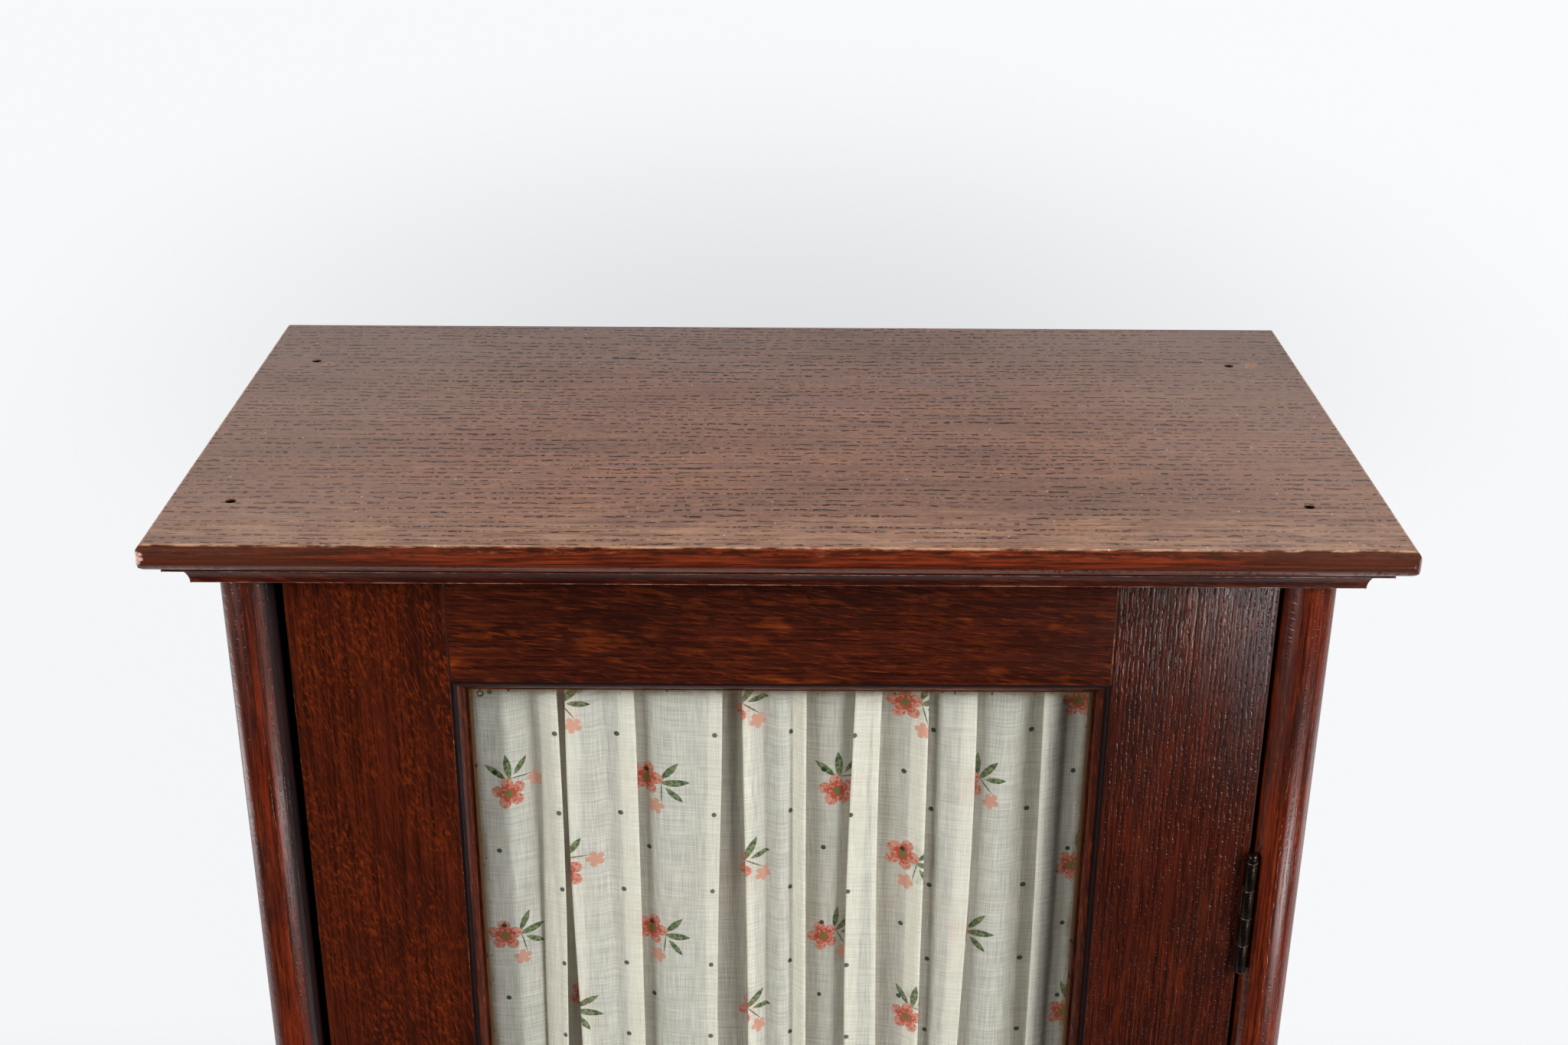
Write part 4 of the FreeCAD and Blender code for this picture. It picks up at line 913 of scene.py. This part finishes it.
def brass_eye():
    """Wire eye screwed up into the bead: a round profile along a straight shank and once round a ring."""
    x = SIGHT_X[0] + EYE_INSET
    y = (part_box("inner_bead_top")[0].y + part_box("inner_bead_top")[1].y) / 2
    middle = SIGHT_TOP - EYE_DROP
    turn = np.linspace(math.pi / 2, math.pi / 2 - 2 * math.pi, 41)
    ring = np.stack([x + EYE_RING * np.cos(turn), middle + EYE_RING * np.sin(turn)], -1)
    shank = np.stack([np.full(6, x), np.linspace(SIGHT_TOP + 0.002, middle + EYE_RING + EYE_WIRE, 6)], -1)
    path = np.concatenate([shank, ring])
    ahead = np.gradient(path, axis=0)
    ahead /= np.linalg.norm(ahead, axis=1)[:, None]
    aside = np.stack([ahead[:, 1], -ahead[:, 0]], -1)
    size = np.full(len(path), EYE_WIRE)
    size[[0, -1]] = 0.0
    phi = np.linspace(0, 2 * math.pi, 13)[None, :]
    across = size[:, None] * np.cos(phi)
    points = np.stack([path[:, :1] + aside[:, :1] * across, y + size[:, None] * np.sin(phi),
                       path[:, 1:] + aside[:, 1:] * across], -1)
    return put("brass_eye", grid_mesh("brass_eye", points), "door", BRIGHT_BRASS)


def hang_curtain():
    """The curtain as one sheet on its two rods."""
    points, u, v = curtain_points()
    flat = (float(u.max()), float(v.max()))
    material = printed_voile("voile_print", flat)
    mesh = grid_mesh("curtain_cloth", points)
    set_uv(mesh, u / flat[0], v / flat[1])
    cloth = put("curtain_cloth", mesh, "door", material)
    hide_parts("curtain")
    return cloth


# Finishes that several pieces share
RUB = rubbed_oak("oak_rubbed", "2c0e06", "96582c", 0.14)
RUB_FAINT = rubbed_oak("oak_rubbed_faint", "2c0e06", "7a4422", 0.06)
# Pale line on the moulding's arrises: partly rubbed wear, partly a painted highlight.
MOULD_RUB_AND_HIGHLIGHT = rubbed_oak("oak_rubbed_moulding_highlight", "5a2e22", "a07a6a", 0.2)
BEAD_RUB = rubbed_oak("oak_rubbed_bead", "2a0f08", "5c3020", 0.1)
INSIDE_RUB = rubbed_oak("oak_inside_arris", "2e1c10", "5b3a22", 0.0)
BRONZE_RUB = metal("bronze_rubbed", "9a8878", "d6cabd", 0.15, (0.2, 0.3))
BRIGHT_BRASS = metal("brass_bright", "6e5020", "c8a050", 0.2, (0.25, 0.4))

# Oak inside and at the back
inside = inside_oak("oak_inside_x", "X")
use(inside, "shelf", "floor_board", "back_rail", "under_frame_back", "door_stop_top")
use(inside_oak("oak_inside_z", "Z"), "door_stop_left")
use(inside_oak("oak_back_boards", "Z", board=BACK_BOARD), "back_board", rubbed=INSIDE_RUB)

# Top and its under-moulding
use(top_oak("oak_top"), "top_board")
moulding = stained_oak("oak_moulding_front", "X", dark="240b06", mid="44160c", fleck=0.3,
                       rough=(0.22, 0.34), shine=0.15)
use(moulding, "under_moulding_front", rubbed=MOULD_RUB_AND_HIGHLIGHT)
SIDE = dict(rough=(0.28, 0.4))
moulding = stained_oak("oak_moulding_side", "Y", dark="1a0804", mid="34110a", fleck=0.3, **SIDE)
use(moulding, "under_moulding_left", "under_moulding_right", rubbed=RUB)

# Posts and sides; painted shade darkens the left post beside the door
POST = dict(mid="68220f", fleck=0.35, fleck_rates=(40.0, 360.0), tilt=0.03, relief=0.00008, rough=(0.2, 0.3))
POST_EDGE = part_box("front_post_left")[1].x
shade_band = (0, POST_EDGE - 0.0075, POST_EDGE - 0.0033)
use(stained_oak("oak_post_left", "Z", painted_shade=shade_band, **POST), "front_post_left", rubbed=RUB)
use(stained_oak("oak_post_right", "Z", **POST), "front_post_right", rubbed=RUB)
upright = stained_oak("oak_upright", "Z", **SIDE)
use(upright, "rear_post", "side_panel", "inner_bead_left", "inner_bead_right", rubbed=RUB)
use(stained_oak("oak_side_rail", "Y", **SIDE), "side_rail", rubbed=RUB)

# Door frame
rail = stained_oak("oak_rail", "X", dark="200a06", mid="40180e", fleck=0.3, fleck_rates=(55.0, 260.0),
                   tilt=0.14, rays=0.7)
use(rail, "door_rail", "front_rail", rubbed=RUB)
stile = stained_oak("oak_stile_left", "Z", light="8a3610", fleck=0.45, fleck_rates=(200.0, 420.0),
                    tilt=0.3, pores=0.1)
use(stile, "door_stile_left", rubbed=RUB)
# The right stile's pale pore dashes near its top are a painted sheen.
stile = stained_oak("oak_stile_right", "Z", dark="200a06", mid="42180e", light="7a3010", fleck=0.25,
                    fleck_rates=(40.0, 600.0), tilt=0.02, relief=0.00016, pores=0.35, rough=(0.12, 0.2),
                    painted_sheen=(0.95, 1.03))
use(stile, "door_stile_right", rubbed=RUB_FAINT)
use(stained_oak("oak_bead_across", "X"), "inner_bead_top", "inner_bead_bottom")

# Glazing beads, with painted shade in the quirk: side, grain, coordinate across, outer edge and way in
BEAD = dict(fleck=0.4, rough=(0.25, 0.35), shine=0.15)
for side, grain, axis, edge, inward in (
    ("left", "Z", 0, STILE_EDGES[0], 1), ("right", "Z", 0, STILE_EDGES[1], -1),
    ("top", "X", 2, RAIL_EDGES[1], -1), ("bottom", "X", 2, RAIL_EDGES[0], 1),
):
    shade_band = (axis, edge + inward * QUIRK[1], edge + inward * QUIRK[0])
    bead = stained_oak("oak_bead_" + side, grain, painted_shade=shade_band, **BEAD)
    use(bead, "glazing_bead_" + side, rubbed=BEAD_RUB, arris=ARRIS_FINE)

# Glass and metal
use(clear_glass("pane_glass"), "glass_pane")
use(metal("bronze_dark", "231a15", "5c4634", 0.0, (0.22, 0.4)), "hinge", rubbed=BRONZE_RUB)
use(metal("brass_dull", "5a4020", "b08a48", 0.1, (0.3, 0.5)), "curtain_rod", "rod_eyes")
use(metal("brass_tarnished", "3b2a16", "8c6a35", 0.05, (0.35, 0.55)), "escutcheon", "strike_plate")
use(metal("steel_old", "2b2826", "7d7872", 0.05, (0.3, 0.5)), "lock_case", "lock_bolt", "key")

hang_curtain()
brass_eye()
for level in ("upper", "lower"):
    add_screws("door_screw_" + level, "door", "hinge_door_leaf_" + level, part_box("door_stile_right")[1].x, 1)
    post_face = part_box("front_post_right")[0].x
    add_screws("post_screw_" + level, "carcass", "hinge_post_leaf_" + level, post_face, -1)

add_stage()
add_camera()
add_world()
for name, (place, target, size, power) in LAMPS.items():
    add_lamp(name, place, target, size, power)
bpy.context.scene.view_settings.view_transform = "Standard"
